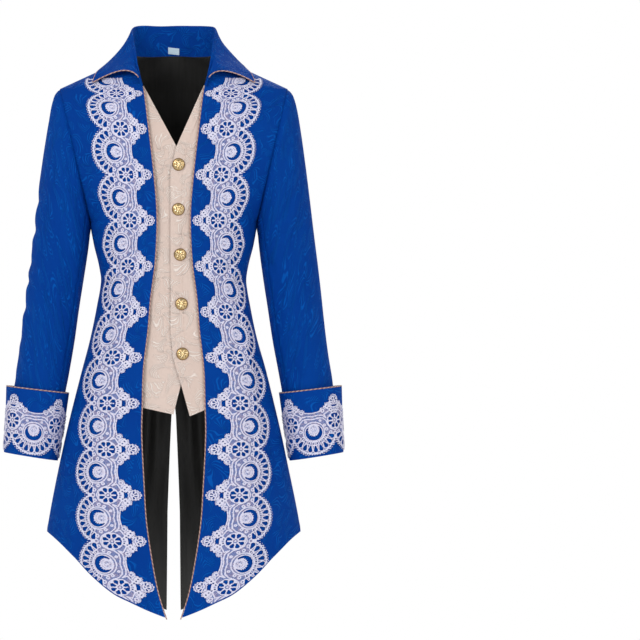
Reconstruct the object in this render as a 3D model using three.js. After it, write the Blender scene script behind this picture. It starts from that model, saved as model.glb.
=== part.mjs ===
// A tailcoat with an open fall collar, a sewn-in vest front, lace bands and turned-back cuffs.
// Millimetres, +Z up, the front faces -Y. The origin is between the shoulders at the neck seam.
import * as THREE from 'three';

const { abs, acos, asin, cos, hypot, max, min, PI, sign, sin, sqrt } = Math;
const point = (x, y, z) => new THREE.Vector3(x, y, z);
const degrees = THREE.MathUtils.degToRad;
const mix = THREE.MathUtils.lerp;

// Cloth thicknesses and gaps
const CLOTH = 2;
const COLLAR_CLOTH = 1.5;
const VEST_CLOTH = 1.5;
const LINING_CLOTH = 1;
const LACE_CLOTH = 1.2;
const LABEL_CLOTH = 0.6;
const SEAM_GAP = 0.3;
const SLEEVE_GAP = 0.35;
const LACE_LIFT = 1.4;
const CUFF_LACE_LIFT = 1.9;
const LINING_GAP = 0.5;

// Shoulder line and armhole, which is an ellipse in a leaning plane
const NECK_HALF = 70;
const SHOULDER = { x: 205, z: -62 };
const ARMHOLE = { x: 177.5, z: -181, lean: 27.5, tall: 119, deep: 60 };
const UNDERARM_Z = ARMHOLE.z - ARMHOLE.tall;
const SHOULDER_RUN = (SHOULDER.x - NECK_HALF) / -SHOULDER.z;
const STEP = degrees(18);
const SMALL_TURN = 0.004;
const WALK_TURN = 0.02;
const HALF_STEPS = 10;
const PRINCESS_STEP = 6;

// Rounds of the body: half width below the armhole, and depth to the front and to the back
const ROUND = 2.2;
const BODY = [
  { z: 2, half: 150, front: 50, back: 62 },
  { z: -12, half: 150, front: 62, back: 69 },
  { z: -25, half: 150, front: 69, back: 76 },
  { z: -40, half: 150, front: 75, back: 84 },
  { z: -62, half: 150, front: 82, back: 92 },
  { z: -100, half: 150, front: 92, back: 100 },
  { z: -150, half: 150, front: 101, back: 107 },
  { z: -200, half: 150, front: 106, back: 110 },
  { z: -300, half: 150, front: 106, back: 103 },
  { z: -337, half: 144, front: 101, back: 97 },
  { z: -380, half: 133.5, front: 94, back: 90 },
  { z: -409, half: 130.5, front: 92, back: 88 },
  { z: -452, half: 138, front: 95, back: 93 },
  { z: -509, half: 150, front: 101, back: 103 },
  { z: -567, half: 165, front: 107, back: 112 },
  { z: -625, half: 179, front: 112, back: 118 },
  { z: -711, half: 199, front: 118, back: 126 },
  { z: -797, half: 218, front: 122, back: 132 },
  { z: -855, half: 228, front: 124, back: 136 },
  { z: -1011, half: 244, front: 128, back: 142 },
];

// Soft flutes that grow towards the hem
const FLUTE = { from: -480, to: -900, deep: 9, each: 6 };

// Front edge of each front: the neckline down to the collar's end, then the opening
const EDGE = [
  { z: 2, x: 70 },
  { z: -12, x: 68 },
  { z: -25, x: 65 },
  { z: -40, x: 61 },
  { z: -59, x: 55.3 },
  { z: -135, x: 45.7 },
  { z: -207, x: 37.3 },
  { z: -288, x: 30.8 },
  { z: -369, x: 33.7 },
  { z: -441, x: 42.7 },
  { z: -495, x: 47 },
  { z: -563, x: 55 },
  { z: -628, x: 57.5 },
  { z: -680, x: 59 },
  { z: -783, x: 55 },
  { z: -837, x: 51.7 },
  { z: -900, x: 42.7 },
  { z: -963, x: 30 },
  { z: -1011, x: 13.9 },
];

// Hem: its height by the distance from the middle, on a round of the skirt's greatest half width
const HEM_HALF = 228;
const HEM = [
  { x: 0, z: -1011 },
  { x: 14, z: -1010 },
  { x: 50, z: -999 },
  { x: 78, z: -985 },
  { x: 121, z: -956 },
  { x: 154, z: -927 },
  { x: 191, z: -898 },
  { x: 214, z: -878 },
  { x: 228, z: -858 },
];

// Seam between the back and the side back, and half the centre vent
const PRINCESS = [
  { z: -212, x: 170 },
  { z: -240, x: 137 },
  { z: -285, x: 119 },
  { z: -350, x: 96 },
  { z: -400, x: 91 },
  { z: -480, x: 97 },
  { z: -563, x: 109 },
  { z: -627, x: 127 },
  { z: -763, x: 140 },
  { z: -877, x: 136 },
  { z: -990, x: 130 },
];
const VENT = [
  { z: -610, x: 0 },
  { z: -653, x: 4.2 },
  { z: -711, x: 7 },
  { z: -769, x: 9.5 },
  { z: -826, x: 11.7 },
  { z: -1011, x: 13.5 },
];

// Rows of the body panels; below the last level the rows run slanting to the hem
const NECK_LEVELS = [-1, -8, -18, -30, -45];
const LOWER_LEVELS = [-337, -409, -480, -560, -640, -700];
const SKIRT_TOP = -700;
const SKIRT_ROWS = 5;
const HEM_ROUNDS = 6;
const COLUMNS = { front: 8, back: 6, side: 3 };

// Sleeve: the outer and inner outline seen from the front, and the rings across it
const SLEEVE_OUTER = [
  { z: -62, x: 205 },
  { z: -77, x: 215 },
  { z: -92, x: 220.5 },
  { z: -126, x: 227 },
  { z: -207, x: 238.5 },
  { z: -308, x: 251 },
  { z: -427, x: 264.6 },
  { z: -538, x: 279 },
  { z: -589, x: 286.5 },
  { z: -712, x: 301.5 },
];
const SLEEVE_INNER = [
  { z: -300, x: 150 },
  { z: -337, x: 152.5 },
  { z: -394, x: 160 },
  { z: -452, x: 168.7 },
  { z: -509, x: 177.6 },
  { z: -567, x: 188 },
  { z: -607, x: 194.4 },
  { z: -725, x: 210 },
];
const SLEEVE_RINGS = [
  { ring: 0, outer: -62, inner: -300, deep: 60 },
  { ring: 1, outer: -77, inner: -302, deep: 61.5 },
  { ring: 2, outer: -100, inner: -305, deep: 62.5 },
  { ring: 3, outer: -135, inner: -311, deep: 63 },
  { ring: 4, outer: -185, inner: -321, deep: 62 },
  { ring: 5, outer: -240, inner: -339, deep: 60 },
  { ring: 6, outer: -300, inner: -366, deep: 57.5 },
  { ring: 7, outer: -365, inner: -405, deep: 54.5 },
  { ring: 8, outer: -440, inner: -465, deep: 51.5 },
  { ring: 9, outer: -520, inner: -537, deep: 49 },
  { ring: 10, outer: -600, inner: -613, deep: 47.5 },
  { ring: 11, outer: -706, inner: -721, deep: 46 },
];
const RING_STEP = 0.1;
const SLEEVE_BACK_SEAM = -4;
const SLEEVE_INNER_SEAM = 8;

// Turned-back cuff: its lower and upper edge, and the slit at the back with round corners
const CUFF = {
  lowOuter: { x: 304.1, z: -714.6 },
  lowInner: { x: 207.7, z: -730 },
  topOuter: { x: 297.5, z: -596.7 },
  topInner: { x: 188.5, z: -609.7 },
  lowDeep: 48.6,
  topDeep: 53,
  tall: 119,
  slitTurn: -PI / 2,
  slitHalf: 3.2,
  corner: 14,
};
const UP_STEP = 0.05;
const CUFF_ROWS = [0, 0.5, 1];
const CUFF_CORNER_STEPS = [0, 2, 6, 14];

// Collar from the middle of the back to its front end: seam place, fold, roll and outer edge
const COLLAR = [
  { turn: 180, z: 0.5, fold: [0, 68, 56], roll: [0, 73.5, 34], edge: [0, 75, 4] },
  { turn: 160, z: 0.5, fold: [26, 66, 56], roll: [29, 71, 34], edge: [31, 73, 3] },
  { turn: 140, z: 0.5, fold: [48, 57, 54.5], roll: [55, 61, 32], edge: [61, 65, -2] },
  { turn: 120, z: 0.5, fold: [63, 42, 51], roll: [74, 46, 26], edge: [86, 50, -9] },
  { turn: 100, z: 0.5, fold: [71, 20, 47], roll: [84, 22, 19], edge: [108, 25, -14] },
  { turn: 0, z: -1, fold: [73, -2, 38], roll: [88, -3, 13], edge: [121, -3, -18] },
  { turn: 0, z: -6, fold: [72, -24, 24], roll: [89, -26, 2], edge: [130, -24, -25] },
  { turn: 0, z: -18, fold: [69.5, -44, 4], roll: [88, -47, -11], edge: [137, -40, -33] },
  { turn: 0, z: -34, fold: [65.5, -64, -20], roll: [86, -66, -22], edge: [141.5, -51, -42] },
  { turn: 0, z: -48, fold: [60, -77, -42], roll: [84.5, -75, -28], edge: [143.5, -57, -48] },
  { turn: 0, z: -59, fold: [56, -83.5, -57], roll: [84, -79, -31], edge: [144, -60, -51] },
];
const COLLAR_SEAM = { back: 0.6, away: 0.72, up: 0.78 };
const FOLD_ROUND = { out: 2.3, down: 2.6, grown: 14 };
const FALL_STEPS = [0.25, 0.5, 0.75, 1];

// Sewn-in vest front: free edges of the two panels, which lie inside the fronts
const VEST = {
  level: -540,
  under: 34,
  levels: [-57, -84, -112, -140, -167, -215, -270, -337, -373, -409, -445, -480, -540],
  endRows: 4,
  columns: 4,
  left: { side: 1, inset: 3.5, low: -648, outLow: -622 },
  right: { side: -1, inset: 6, low: -645, outLow: -625 },
};
const VEST_LEFT_EDGE = [
  { z: -57, x: 54 },
  { z: -167, x: 4.9 },
  { z: -215, x: -6 },
  { z: -495, x: -5.6 },
  { z: -544, x: -1.3 },
  { z: -596, x: 14.6 },
  { z: -648, x: 29.3 },
];
const VEST_RIGHT_EDGE = [
  { z: -57, x: -54 },
  { z: -167, x: 5 },
  { z: -215, x: 14 },
  { z: -570, x: 16 },
  { z: -592, x: 13 },
  { z: -645, x: -0.4 },
];
const BUTTONS = [
  { x: 8.8, z: -200 },
  { x: 8.3, z: -280 },
  { x: 11.7, z: -361 },
  { x: 14, z: -448 },
  { x: 16, z: -537 },
];
const BUTTON_PROFILE = [
  { r: 0, h: 0 },
  { r: 10.6, h: 0 },
  { r: 11.2, h: 1.9 },
  { r: 8.4, h: 2.7 },
  { r: 4.6, h: 4.9 },
  { r: 0, h: 5.6 },
];
const BUTTON_SIDES = 12;
const BUTTON_SEAT = 0.7;

// Lace band: repeats of a fan round an eye, with a petal ring, and lobes along the inner side
const LACE = {
  each: 81.5,
  firstFan: -95.9,
  shoulderShrink: 0.56,
  start: -92,
  fans: 13,
  eye: 60,
  reach: 48,
  hemInset: 2,
  widenFrom: -420,
  widenTo: -580,
  widen: 13,
};
const FAN_ANGLES = [-45, -27, -9, 9, 27, 45];
const LOBES = [
  { along: -24, out: 24 },
  { along: -13, out: 17 },
  { along: -8, out: 6 },
  { along: 0, out: 2.5 },
  { along: 8, out: 6 },
  { along: 13, out: 17 },
  { along: 24, out: 24 },
];
const BAY = 34;
const CRESCENT = [
  { along: -15, out: 5 },
  { along: 0, out: 9.5 },
  { along: 15, out: 5 },
  { along: 9, out: 17 },
  { along: -9, out: 17 },
];
const PETALS = { angles: [-42.5, -25.5, -8.5, 8.5, 25.5, 42.5], from: 29, to: 41.5, spread: 5.6 };
const HOLE_RIM = 2.5;
const WAVE = 1.2;
const TOP_RISE = 2.5;
const TOP_SHARES = [0.12, 0.23, 0.34, 0.45, 0.56, 0.67, 0.78, 0.89];
const HEM_SHARES = [0.2, 0.4, 0.6, 0.8];
const MAX_PASSES = 500;
const CONVEX_AREA = 1e-3;
const ANGLE_SLACK = 1e-6;
const HALVINGS = 24;
const FIRM_POINTS = [
  { along: 0, out: -9 },
  { along: 17, out: -14 },
  { along: 30, out: -2 },
  { along: 32, out: -18 },
  { along: 41, out: -9 },
  { along: 50, out: -18 },
  { along: 52, out: -2 },
  { along: 65, out: -14 },
];
const CUFF_LACE = { fans: 4, eye: 69, reach: 45, top: 4, end: 7, bay: 40, shift: 8 };

// Piping and the blank size tab
const PIPE = 1.3;
const PIPE_SIDES = 5;
const PIPE_SLACK = 0.15;
const PIPE_START = -62.5;
const LEAST_BEND = 0.6;
const COLLAR_PIPE_START = 5;
const TAB = { half: 10, low: 3, high: 15, tilt: 0.8 };

const COLOURS = {
  blue: { color: 0x0a47a8, roughness: 0.55, metalness: 0 },
  lining: { color: 0x161614, roughness: 0.35, metalness: 0 },
  cream: { color: 0xe6cfc0, roughness: 0.6, metalness: 0 },
  lace: { color: 0xd9d8f0, roughness: 0.8, metalness: 0 },
  piping: { color: 0xc79f8e, roughness: 0.45, metalness: 0 },
  brass: { color: 0xc9a259, roughness: 0.25, metalness: 1 },
  tab: { color: 0xcfe2ec, roughness: 0.7, metalness: 0 },
};

const coat = new THREE.Group();
coat.name = 'tailcoat';

function add(name, geometry, colour) {
  const mesh = new THREE.Mesh(geometry, new THREE.MeshStandardMaterial(COLOURS[colour]));
  mesh.name = name;
  coat.add(mesh);
}

// A smooth curve through one column of a table, level beyond its ends
function read(table, column, at, key = 'z') {
  const last = table.length - 1;
  const way = sign(table[last][key] - table[0][key]);
  if ((at - table[0][key]) * way <= 0) return table[0][column];
  if ((at - table[last][key]) * way >= 0) return table[last][column];
  let i = 0;
  while ((at - table[i + 1][key]) * way > 0) i += 1;
  const slope = (j) => {
    const before = table[max(j - 1, 0)];
    const after = table[min(j + 1, last)];
    return (after[column] - before[column]) / (after[key] - before[key]);
  };
  const span = table[i + 1][key] - table[i][key];
  const t = (at - table[i][key]) / span;
  const start = (2 * t - 3) * t * t + 1;
  const startSlope = ((t - 2) * t + 1) * t * span * slope(i);
  const endSlope = (t - 1) * t * t * span * slope(i + 1);
  return start * table[i][column] + startSlope + (1 - start) * table[i + 1][column] + endSlope;
}

function straight(table, column, at, key = 'z') {
  const way = sign(table[table.length - 1][key] - table[0][key]);
  let i = 0;
  while (i < table.length - 2 && (at - table[i + 1][key]) * way > 0) i += 1;
  const t = (at - table[i][key]) / (table[i + 1][key] - table[i][key]);
  return mix(table[i][column], table[i + 1][column], min(max(t, 0), 1));
}

const unit = (from, to) => to.clone().sub(from).normalize();
const signedPower = (base, exponent) => sign(base) * abs(base) ** exponent;

// One closed body from its corners and triangles, turned so that its faces point out
function solid(points, triangles) {
  let volume = 0;
  for (const [a, b, c] of triangles) {
    volume += points[a].dot(points[b].clone().cross(points[c]));
  }
  const faces = volume < 0 ? triangles.map(([a, b, c]) => [a, c, b]) : triangles;
  const geometry = new THREE.BufferGeometry();
  const coordinates = points.flatMap((p) => [p.x, p.y, p.z]);
  geometry.setAttribute('position', new THREE.Float32BufferAttribute(coordinates, 3));
  geometry.setIndex(faces.flat());
  geometry.computeVertexNormals();
  return geometry;
}

// A wall between two grids of points, closed along its four edges
function wall(outer, inner) {
  const rows = outer.length;
  const columns = outer[0].length;
  const far = rows * columns;
  const at = (row, column) => row * columns + column;
  const triangles = [];
  const quad = (a, b, c, d) => triangles.push([a, b, c], [a, c, d]);
  for (let row = 0; row < rows - 1; row += 1) {
    for (let column = 0; column < columns - 1; column += 1) {
      const [a, b] = [at(row, column), at(row, column + 1)];
      const [c, d] = [b + columns, a + columns];
      quad(a, b, c, d);
      quad(a + far, d + far, c + far, b + far);
    }
  }
  const rim = (a, b) => quad(b, a, a + far, b + far);
  for (let column = 0; column < columns - 1; column += 1) {
    rim(at(0, column), at(0, column + 1));
    rim(at(rows - 1, column + 1), at(rows - 1, column));
  }
  for (let row = 0; row < rows - 1; row += 1) {
    rim(at(row + 1, 0), at(row, 0));
    rim(at(row, columns - 1), at(row + 1, columns - 1));
  }
  return solid([...outer.flat(), ...inner.flat()], triangles);
}

// A cord along a line of points, with flat ends
function cord(path, radius, sides) {
  const points = [];
  const triangles = [];
  let across = null;
  path.forEach((centre, i) => {
    const before = path[max(i - 1, 0)];
    const after = path[min(i + 1, path.length - 1)];
    const along = after.clone().sub(before).normalize();
    if (!across) across = point(along.z, along.x, along.y).cross(along);
    across.addScaledVector(along, -across.dot(along)).normalize();
    const other = along.clone().cross(across);
    for (let side = 0; side < sides; side += 1) {
      const turn = (side / sides) * 2 * PI;
      const arm = across.clone().multiplyScalar(cos(turn)).addScaledVector(other, sin(turn));
      points.push(centre.clone().addScaledVector(arm, radius));
    }
  });
  for (let i = 0; i < path.length - 1; i += 1) {
    for (let side = 0; side < sides; side += 1) {
      const next = (side + 1) % sides;
      const [a, b] = [i * sides + side, i * sides + next];
      const [c, d] = [b + sides, a + sides];
      triangles.push([a, b, c], [a, c, d]);
    }
  }
  const end = (path.length - 1) * sides;
  for (let side = 1; side < sides - 1; side += 1) {
    triangles.push([0, side + 1, side], [end, end + side, end + side + 1]);
  }
  return solid(points, triangles);
}

// The body's surface: turn runs from 0 at the front to PI at the back on one side
function armholeAt(z) {
  const up = min(max((z - ARMHOLE.z) / ARMHOLE.tall, -1), 1);
  return { x: ARMHOLE.x + ARMHOLE.lean * up, y: ARMHOLE.deep * sqrt(1 - up * up) };
}

function halfWidth(z, deep) {
  if (z > SHOULDER.z) return NECK_HALF - z * SHOULDER_RUN;
  if (z < UNDERARM_Z) return read(BODY, 'half', z);
  const arm = armholeAt(z);
  return arm.x / (1 - (arm.y / deep) ** ROUND) ** (1 / ROUND);
}

function fluteDepth(turn, z) {
  const grown = THREE.MathUtils.smoothstep(-z, -FLUTE.from, -FLUTE.to);
  return FLUTE.deep * grown * 0.5 * (1 - cos(FLUTE.each * (turn - PI / 2)));
}

function bodyPoint(side, turn, z) {
  const atFront = cos(turn) >= 0;
  const deep = read(BODY, atFront ? 'front' : 'back', z);
  const x = halfWidth(z, deep) * signedPower(sin(turn), 2 / ROUND);
  const y = -deep * signedPower(cos(turn), 2 / ROUND);
  const shrink = 1 - fluteDepth(turn, z) / hypot(x, y);
  return point(side * x * shrink, y * shrink, z);
}

function bodyNormal(side, turn, z) {
  const round = bodyPoint(side, turn + SMALL_TURN, z).sub(bodyPoint(side, turn - SMALL_TURN, z));
  const rise = bodyPoint(side, turn, z + 1).sub(bodyPoint(side, turn, z - 1));
  return round.cross(rise).multiplyScalar(side).normalize();
}

function turnAt(x, z, atBack = false) {
  const deep = read(BODY, atBack ? 'back' : 'front', z);
  const turn = asin(signedPower(min(x / halfWidth(z, deep), 1), ROUND / 2));
  return atBack ? PI - turn : turn;
}

// Seams and edges as turns
const edgeTurn = (z) => turnAt(read(EDGE, 'x', z), z);
const princessTurn = (z) => turnAt(read(PRINCESS, 'x', z), z, true);
const ventTurn = (z) => turnAt(z > VENT[0].z ? 0 : straight(VENT, 'x', z), z, true);

function armholeTurn(z, atBack) {
  if (z > SHOULDER.z || z < UNDERARM_Z) return PI / 2;
  const deep = read(BODY, atBack ? 'back' : 'front', z);
  const turn = acos((armholeAt(z).y / deep) ** (ROUND / 2));
  return atBack ? PI - turn : turn;
}

const hemHeight = (turn) => read(HEM, 'z', HEM_HALF * abs(sin(turn)) ** (2 / ROUND), 'x');
const skirtHeight = (turn, share, inset) => mix(SKIRT_TOP, hemHeight(turn) + inset, share);

// Sleeve surface: arm turn 0 is the outer side, PI / 2 the front, PI the inner side
function sleevePoint(side, ring, armTurn) {
  const outerZ = read(SLEEVE_RINGS, 'outer', ring, 'ring');
  const innerZ = read(SLEEVE_RINGS, 'inner', ring, 'ring');
  const deep = read(SLEEVE_RINGS, 'deep', ring, 'ring');
  return tubePoint(side, armTurn, deep, {
    outer: { x: read(SLEEVE_OUTER, 'x', outerZ), z: outerZ },
    inner: { x: read(SLEEVE_INNER, 'x', innerZ), z: innerZ },
  });
}

function tubePoint(side, armTurn, deep, { outer, inner }) {
  const out = 0.5 + 0.5 * cos(armTurn);
  const x = mix(inner.x, outer.x, out);
  return point(side * x, -deep * sin(armTurn), mix(inner.z, outer.z, out));
}

function sleeveNormal(side, ring, armTurn) {
  const round = sleevePoint(side, ring, armTurn + SMALL_TURN).sub(sleevePoint(side, ring, armTurn - SMALL_TURN));
  const low = max(ring - RING_STEP, 0);
  const along = sleevePoint(side, ring + RING_STEP, armTurn).sub(sleevePoint(side, low, armTurn));
  return round.cross(along).multiplyScalar(side).normalize();
}

const armholeLevel = (step) => ARMHOLE.z + ARMHOLE.tall * cos(step * STEP);
const armholeAway = (side) => point(side * ARMHOLE.tall, 0, -ARMHOLE.lean).normalize();

// The way that the body's and the sleeve's wall both go in at the armhole seam
function armholeMitre(side, step) {
  const z = armholeLevel(step);
  const body = bodyNormal(side, armholeTurn(z, step < 0), z);
  const both = body.add(sleeveNormal(side, 0, step * STEP)).normalize();
  const away = armholeAway(side);
  return both.addScaledVector(away, -both.dot(away)).normalize();
}

// Rows of a body panel, each a level, or a share of the way down to the hem
function panelRows(first, atBack) {
  const rows = [];
  if (first === 'neck') {
    if (atBack) rows.push({ z: 0.5 });
    NECK_LEVELS.forEach((z) => rows.push({ z }));
  }
  const from = first === 'princess' ? PRINCESS_STEP : 0;
  for (let step = from; step <= HALF_STEPS; step += 1) {
    rows.push({ z: armholeLevel(step), step: atBack ? -step : step });
  }
  LOWER_LEVELS.forEach((z) => rows.push({ z }));
  for (let row = 1; row <= SKIRT_ROWS; row += 1) rows.push({ share: row / SKIRT_ROWS });
  return rows;
}

function rowTurn(seam, row, inset) {
  if (row.share === undefined) return seam(row.z);
  let turn = seam(SKIRT_TOP);
  for (let i = 0; i < HEM_ROUNDS; i += 1) turn = seam(skirtHeight(turn, row.share, inset));
  return turn;
}

// A body panel between two seams; start and end say how the wall ends there
function bodyPanel(side, rows, columns, start, end, layer) {
  const { depth, cloth, inset } = layer;
  const outer = [];
  const inner = [];
  const turns = [];
  for (const row of rows) {
    const first = rowTurn(start.seam, row, inset);
    const last = rowTurn(end.seam, row, inset);
    turns.push([first, last]);
    const outerRow = [];
    const innerRow = [];
    for (let column = 0; column <= columns; column += 1) {
      const turn = mix(first, last, column / columns);
      const z = row.share === undefined ? row.z : skirtHeight(turn, row.share, inset);
      const way = unit(bodyPoint(side, turn - SMALL_TURN, z), bodyPoint(side, turn + SMALL_TURN, z));
      const place = bodyPoint(side, turn, z);
      let normal = bodyNormal(side, turn, z);
      const rule = column === 0 ? start : end;
      if (column === 0) place.addScaledVector(way, rule.gap(z));
      if (column === columns) place.addScaledVector(way, -rule.gap(z));
      if (column === columns && rule.armhole && row.step !== undefined && rule.armhole(row.step)) {
        normal = armholeMitre(side, row.step);
      }
      outerRow.push(place.clone().addScaledVector(normal, -depth));
      innerRow.push(place.clone().addScaledVector(normal, -depth - cloth));
    }
    outer.push(outerRow);
    inner.push(innerRow);
  }
  return { outer, inner, turns, rows };
}

// A point on the flat faces of a panel
function onPanel({ outer, turns, rows }, turn, z) {
  const levels = rows.length - SKIRT_ROWS - 1;
  let down = levels + (SKIRT_ROWS * (z - SKIRT_TOP)) / (hemHeight(turn) - SKIRT_TOP);
  if (z > SKIRT_TOP) {
    const above = max(rows.findIndex((row) => row.z < z) - 1, 0);
    down = above + (rows[above].z - z) / (rows[above].z - rows[above + 1].z);
  }
  const i = min(Math.floor(down), rows.length - 2);
  const t = down - i;
  const first = mix(turns[i][0], turns[i + 1][0], t);
  const last = mix(turns[i][1], turns[i + 1][1], t);
  const columns = outer[0].length - 1;
  const across = ((turn - first) / (last - first)) * columns;
  const j = min(max(Math.floor(across), 0), columns - 1);
  const top = outer[i][j].clone().lerp(outer[i][j + 1], across - j);
  return top.lerp(outer[i + 1][j].clone().lerp(outer[i + 1][j + 1], across - j), t);
}

const inArmhole = (z) => z <= SHOULDER.z && z >= UNDERARM_Z;
const beltGap = (z) => (inArmhole(z) ? 0 : SEAM_GAP / 2);
const COAT_LAYER = { depth: 0, cloth: CLOTH, inset: 0 };

function frontPanel(side) {
  return bodyPanel(
    side,
    panelRows('neck', false),
    COLUMNS.front,
    { seam: edgeTurn, gap: () => 0 },
    { seam: (z) => armholeTurn(z, false), gap: beltGap, armhole: () => true },
    COAT_LAYER,
  );
}

const PRINCESS_TOP = armholeLevel(PRINCESS_STEP) + 0.01;
const backOuterTurn = (z) => (z > PRINCESS_TOP ? armholeTurn(z, true) : princessTurn(z));
const backSeamTurn = (z) => max(armholeTurn(z, true), min(backOuterTurn(z), PI));

function backPanel(side, layer, gap) {
  const seam = {
    seam: backSeamTurn,
    gap: (z) => -(inArmhole(z) && z > PRINCESS_TOP ? 0 : gap),
    armhole: (step) => step > -PRINCESS_STEP,
  };
  const middle = { seam: ventTurn, gap: () => -gap };
  return bodyPanel(side, panelRows('neck', true), COLUMNS.back, middle, seam, layer);
}

function sideBackPanel(side) {
  return bodyPanel(
    side,
    panelRows('princess', true),
    COLUMNS.side,
    { seam: backSeamTurn, gap: () => -SEAM_GAP / 2 },
    {
      seam: (z) => armholeTurn(z, true),
      gap: (z) => -beltGap(z),
      armhole: (step) => step < -PRINCESS_STEP,
    },
    COAT_LAYER,
  );
}

function sleevePanel(side, from, to) {
  const outer = [];
  const inner = [];
  for (const { ring } of SLEEVE_RINGS) {
    const outerRow = [];
    const innerRow = [];
    for (let step = from; step <= to; step += 1) {
      const armTurn = step * STEP;
      const place = sleevePoint(side, ring, armTurn);
      const way = unit(sleevePoint(side, ring, armTurn - SMALL_TURN), sleevePoint(side, ring, armTurn + SMALL_TURN));
      if (step === from) place.addScaledVector(way, SLEEVE_GAP);
      if (step === to) place.addScaledVector(way, -SLEEVE_GAP);
      const hole = step > HALF_STEPS ? step - 2 * HALF_STEPS : step;
      const normal = ring === 0 ? armholeMitre(side, hole) : sleeveNormal(side, ring, armTurn);
      if (ring === 0) place.addScaledVector(armholeAway(side), SLEEVE_GAP);
      outerRow.push(place);
      innerRow.push(place.clone().addScaledVector(normal, -CLOTH));
    }
    outer.push(outerRow);
    inner.push(innerRow);
  }
  return { outer, inner };
}

// Cuff surface: up is 0 at its lower edge and 1 at its upper edge
function cuffPoint(side, up, armTurn) {
  const deep = mix(CUFF.lowDeep, CUFF.topDeep, up);
  const between = (low, top) => ({ x: mix(low.x, top.x, up), z: mix(low.z, top.z, up) });
  const outer = between(CUFF.lowOuter, CUFF.topOuter);
  const inner = between(CUFF.lowInner, CUFF.topInner);
  return tubePoint(side, armTurn, deep, { outer, inner });
}

function cuffNormal(side, up, armTurn) {
  const round = cuffPoint(side, up, armTurn + SMALL_TURN).sub(cuffPoint(side, up, armTurn - SMALL_TURN));
  const rise = cuffPoint(side, up - UP_STEP, armTurn).sub(cuffPoint(side, up + UP_STEP, armTurn));
  return round.cross(rise).multiplyScalar(side).normalize();
}

const cuffRadius = (CUFF.lowDeep + CUFF.topDeep) / 2;

function cuffTurns() {
  const near = CUFF_CORNER_STEPS.map((step) => (step + CUFF.slitHalf) / cuffRadius);
  const turns = near.map((turn) => CUFF.slitTurn + turn);
  for (let step = 2; step < 2 * HALF_STEPS - 1; step += 1) turns.push(CUFF.slitTurn + step * STEP);
  near.reverse().forEach((turn) => turns.push(CUFF.slitTurn + 2 * PI - turn));
  return turns;
}

// How far the round corners at the slit lower the cuff's upper edge
function cuffTop(armTurn) {
  const away = min(armTurn - CUFF.slitTurn, CUFF.slitTurn + 2 * PI - armTurn) * cuffRadius;
  const inside = max(CUFF.corner - (away - CUFF.slitHalf), 0);
  const drop = CUFF.corner - sqrt(CUFF.corner ** 2 - min(inside, CUFF.corner) ** 2);
  return 1 - drop / CUFF.tall;
}

function cuffPanel(side) {
  const outer = [];
  const inner = [];
  for (const share of CUFF_ROWS) {
    const outerRow = [];
    const innerRow = [];
    for (const armTurn of cuffTurns()) {
      const up = share * cuffTop(armTurn);
      const place = cuffPoint(side, up, armTurn);
      outerRow.push(place);
      innerRow.push(place.clone().addScaledVector(cuffNormal(side, up, armTurn), -CLOTH));
    }
    outer.push(outerRow);
    inner.push(innerRow);
  }
  return { outer, inner };
}

// Collar: one section for each station, from the neck seam over the fold to the outer edge
function collarSection(row, side) {
  const atBack = row.turn > 0;
  const turn = atBack ? degrees(row.turn) : edgeTurn(row.z);
  const seam = bodyPoint(1, turn, row.z);
  if (atBack) {
    seam.z += COLLAR_SEAM.back;
  } else {
    const away = bodyPoint(1, turn - WALK_TURN, row.z).sub(seam).normalize();
    seam.addScaledVector(away, COLLAR_SEAM.away).add(point(0, 0, COLLAR_SEAM.up));
  }
  const fold = point(...row.fold);
  const roll = point(...row.roll);
  const edge = point(...row.edge);
  const out = roll.clone().sub(seam).setZ(0).normalize();
  const grown = min(fold.distanceTo(seam) / FOLD_ROUND.grown, 1);
  const shoulder = (way) => fold
    .clone()
    .addScaledVector(out, way * FOLD_ROUND.out * grown)
    .add(point(0, 0, -FOLD_ROUND.down * grown));
  const inner = shoulder(-1);
  const outer = shoulder(1);
  const pull = roll.multiplyScalar(2).sub(outer.clone().lerp(edge, 0.5));
  const bend = new THREE.QuadraticBezierCurve3(outer, pull, edge);
  const section = [seam, seam.clone().lerp(inner, 0.5), inner, fold, outer];
  FALL_STEPS.forEach((t) => section.push(bend.getPoint(t)));
  return section.map((p) => point(side * p.x, p.y, p.z));
}

function collarGrid() {
  const rows = [];
  for (let k = COLLAR.length - 1; k > 0; k -= 1) rows.push(collarSection(COLLAR[k], -1));
  COLLAR.forEach((row) => rows.push(collarSection(row, 1)));
  return rows;
}

function gridNormals(grid) {
  return grid.map((row, i) => row.map((_, j) => {
    const along = grid[min(i + 1, grid.length - 1)][j].clone().sub(grid[max(i - 1, 0)][j]);
    const across = row[min(j + 1, row.length - 1)].clone().sub(row[max(j - 1, 0)]);
    return along.cross(across).normalize();
  }));
}

function offsetGrid(grid, normals, distance) {
  return grid.map((row, i) => row.map((p, j) => p.clone().addScaledVector(normals[i][j], distance)));
}

// Vest panels, set in from the coat's front
function vestPlace(x, z, inset) {
  const turn = turnAt(x, z);
  return bodyPoint(1, turn, z).addScaledVector(bodyNormal(1, turn, z), -inset);
}

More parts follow.
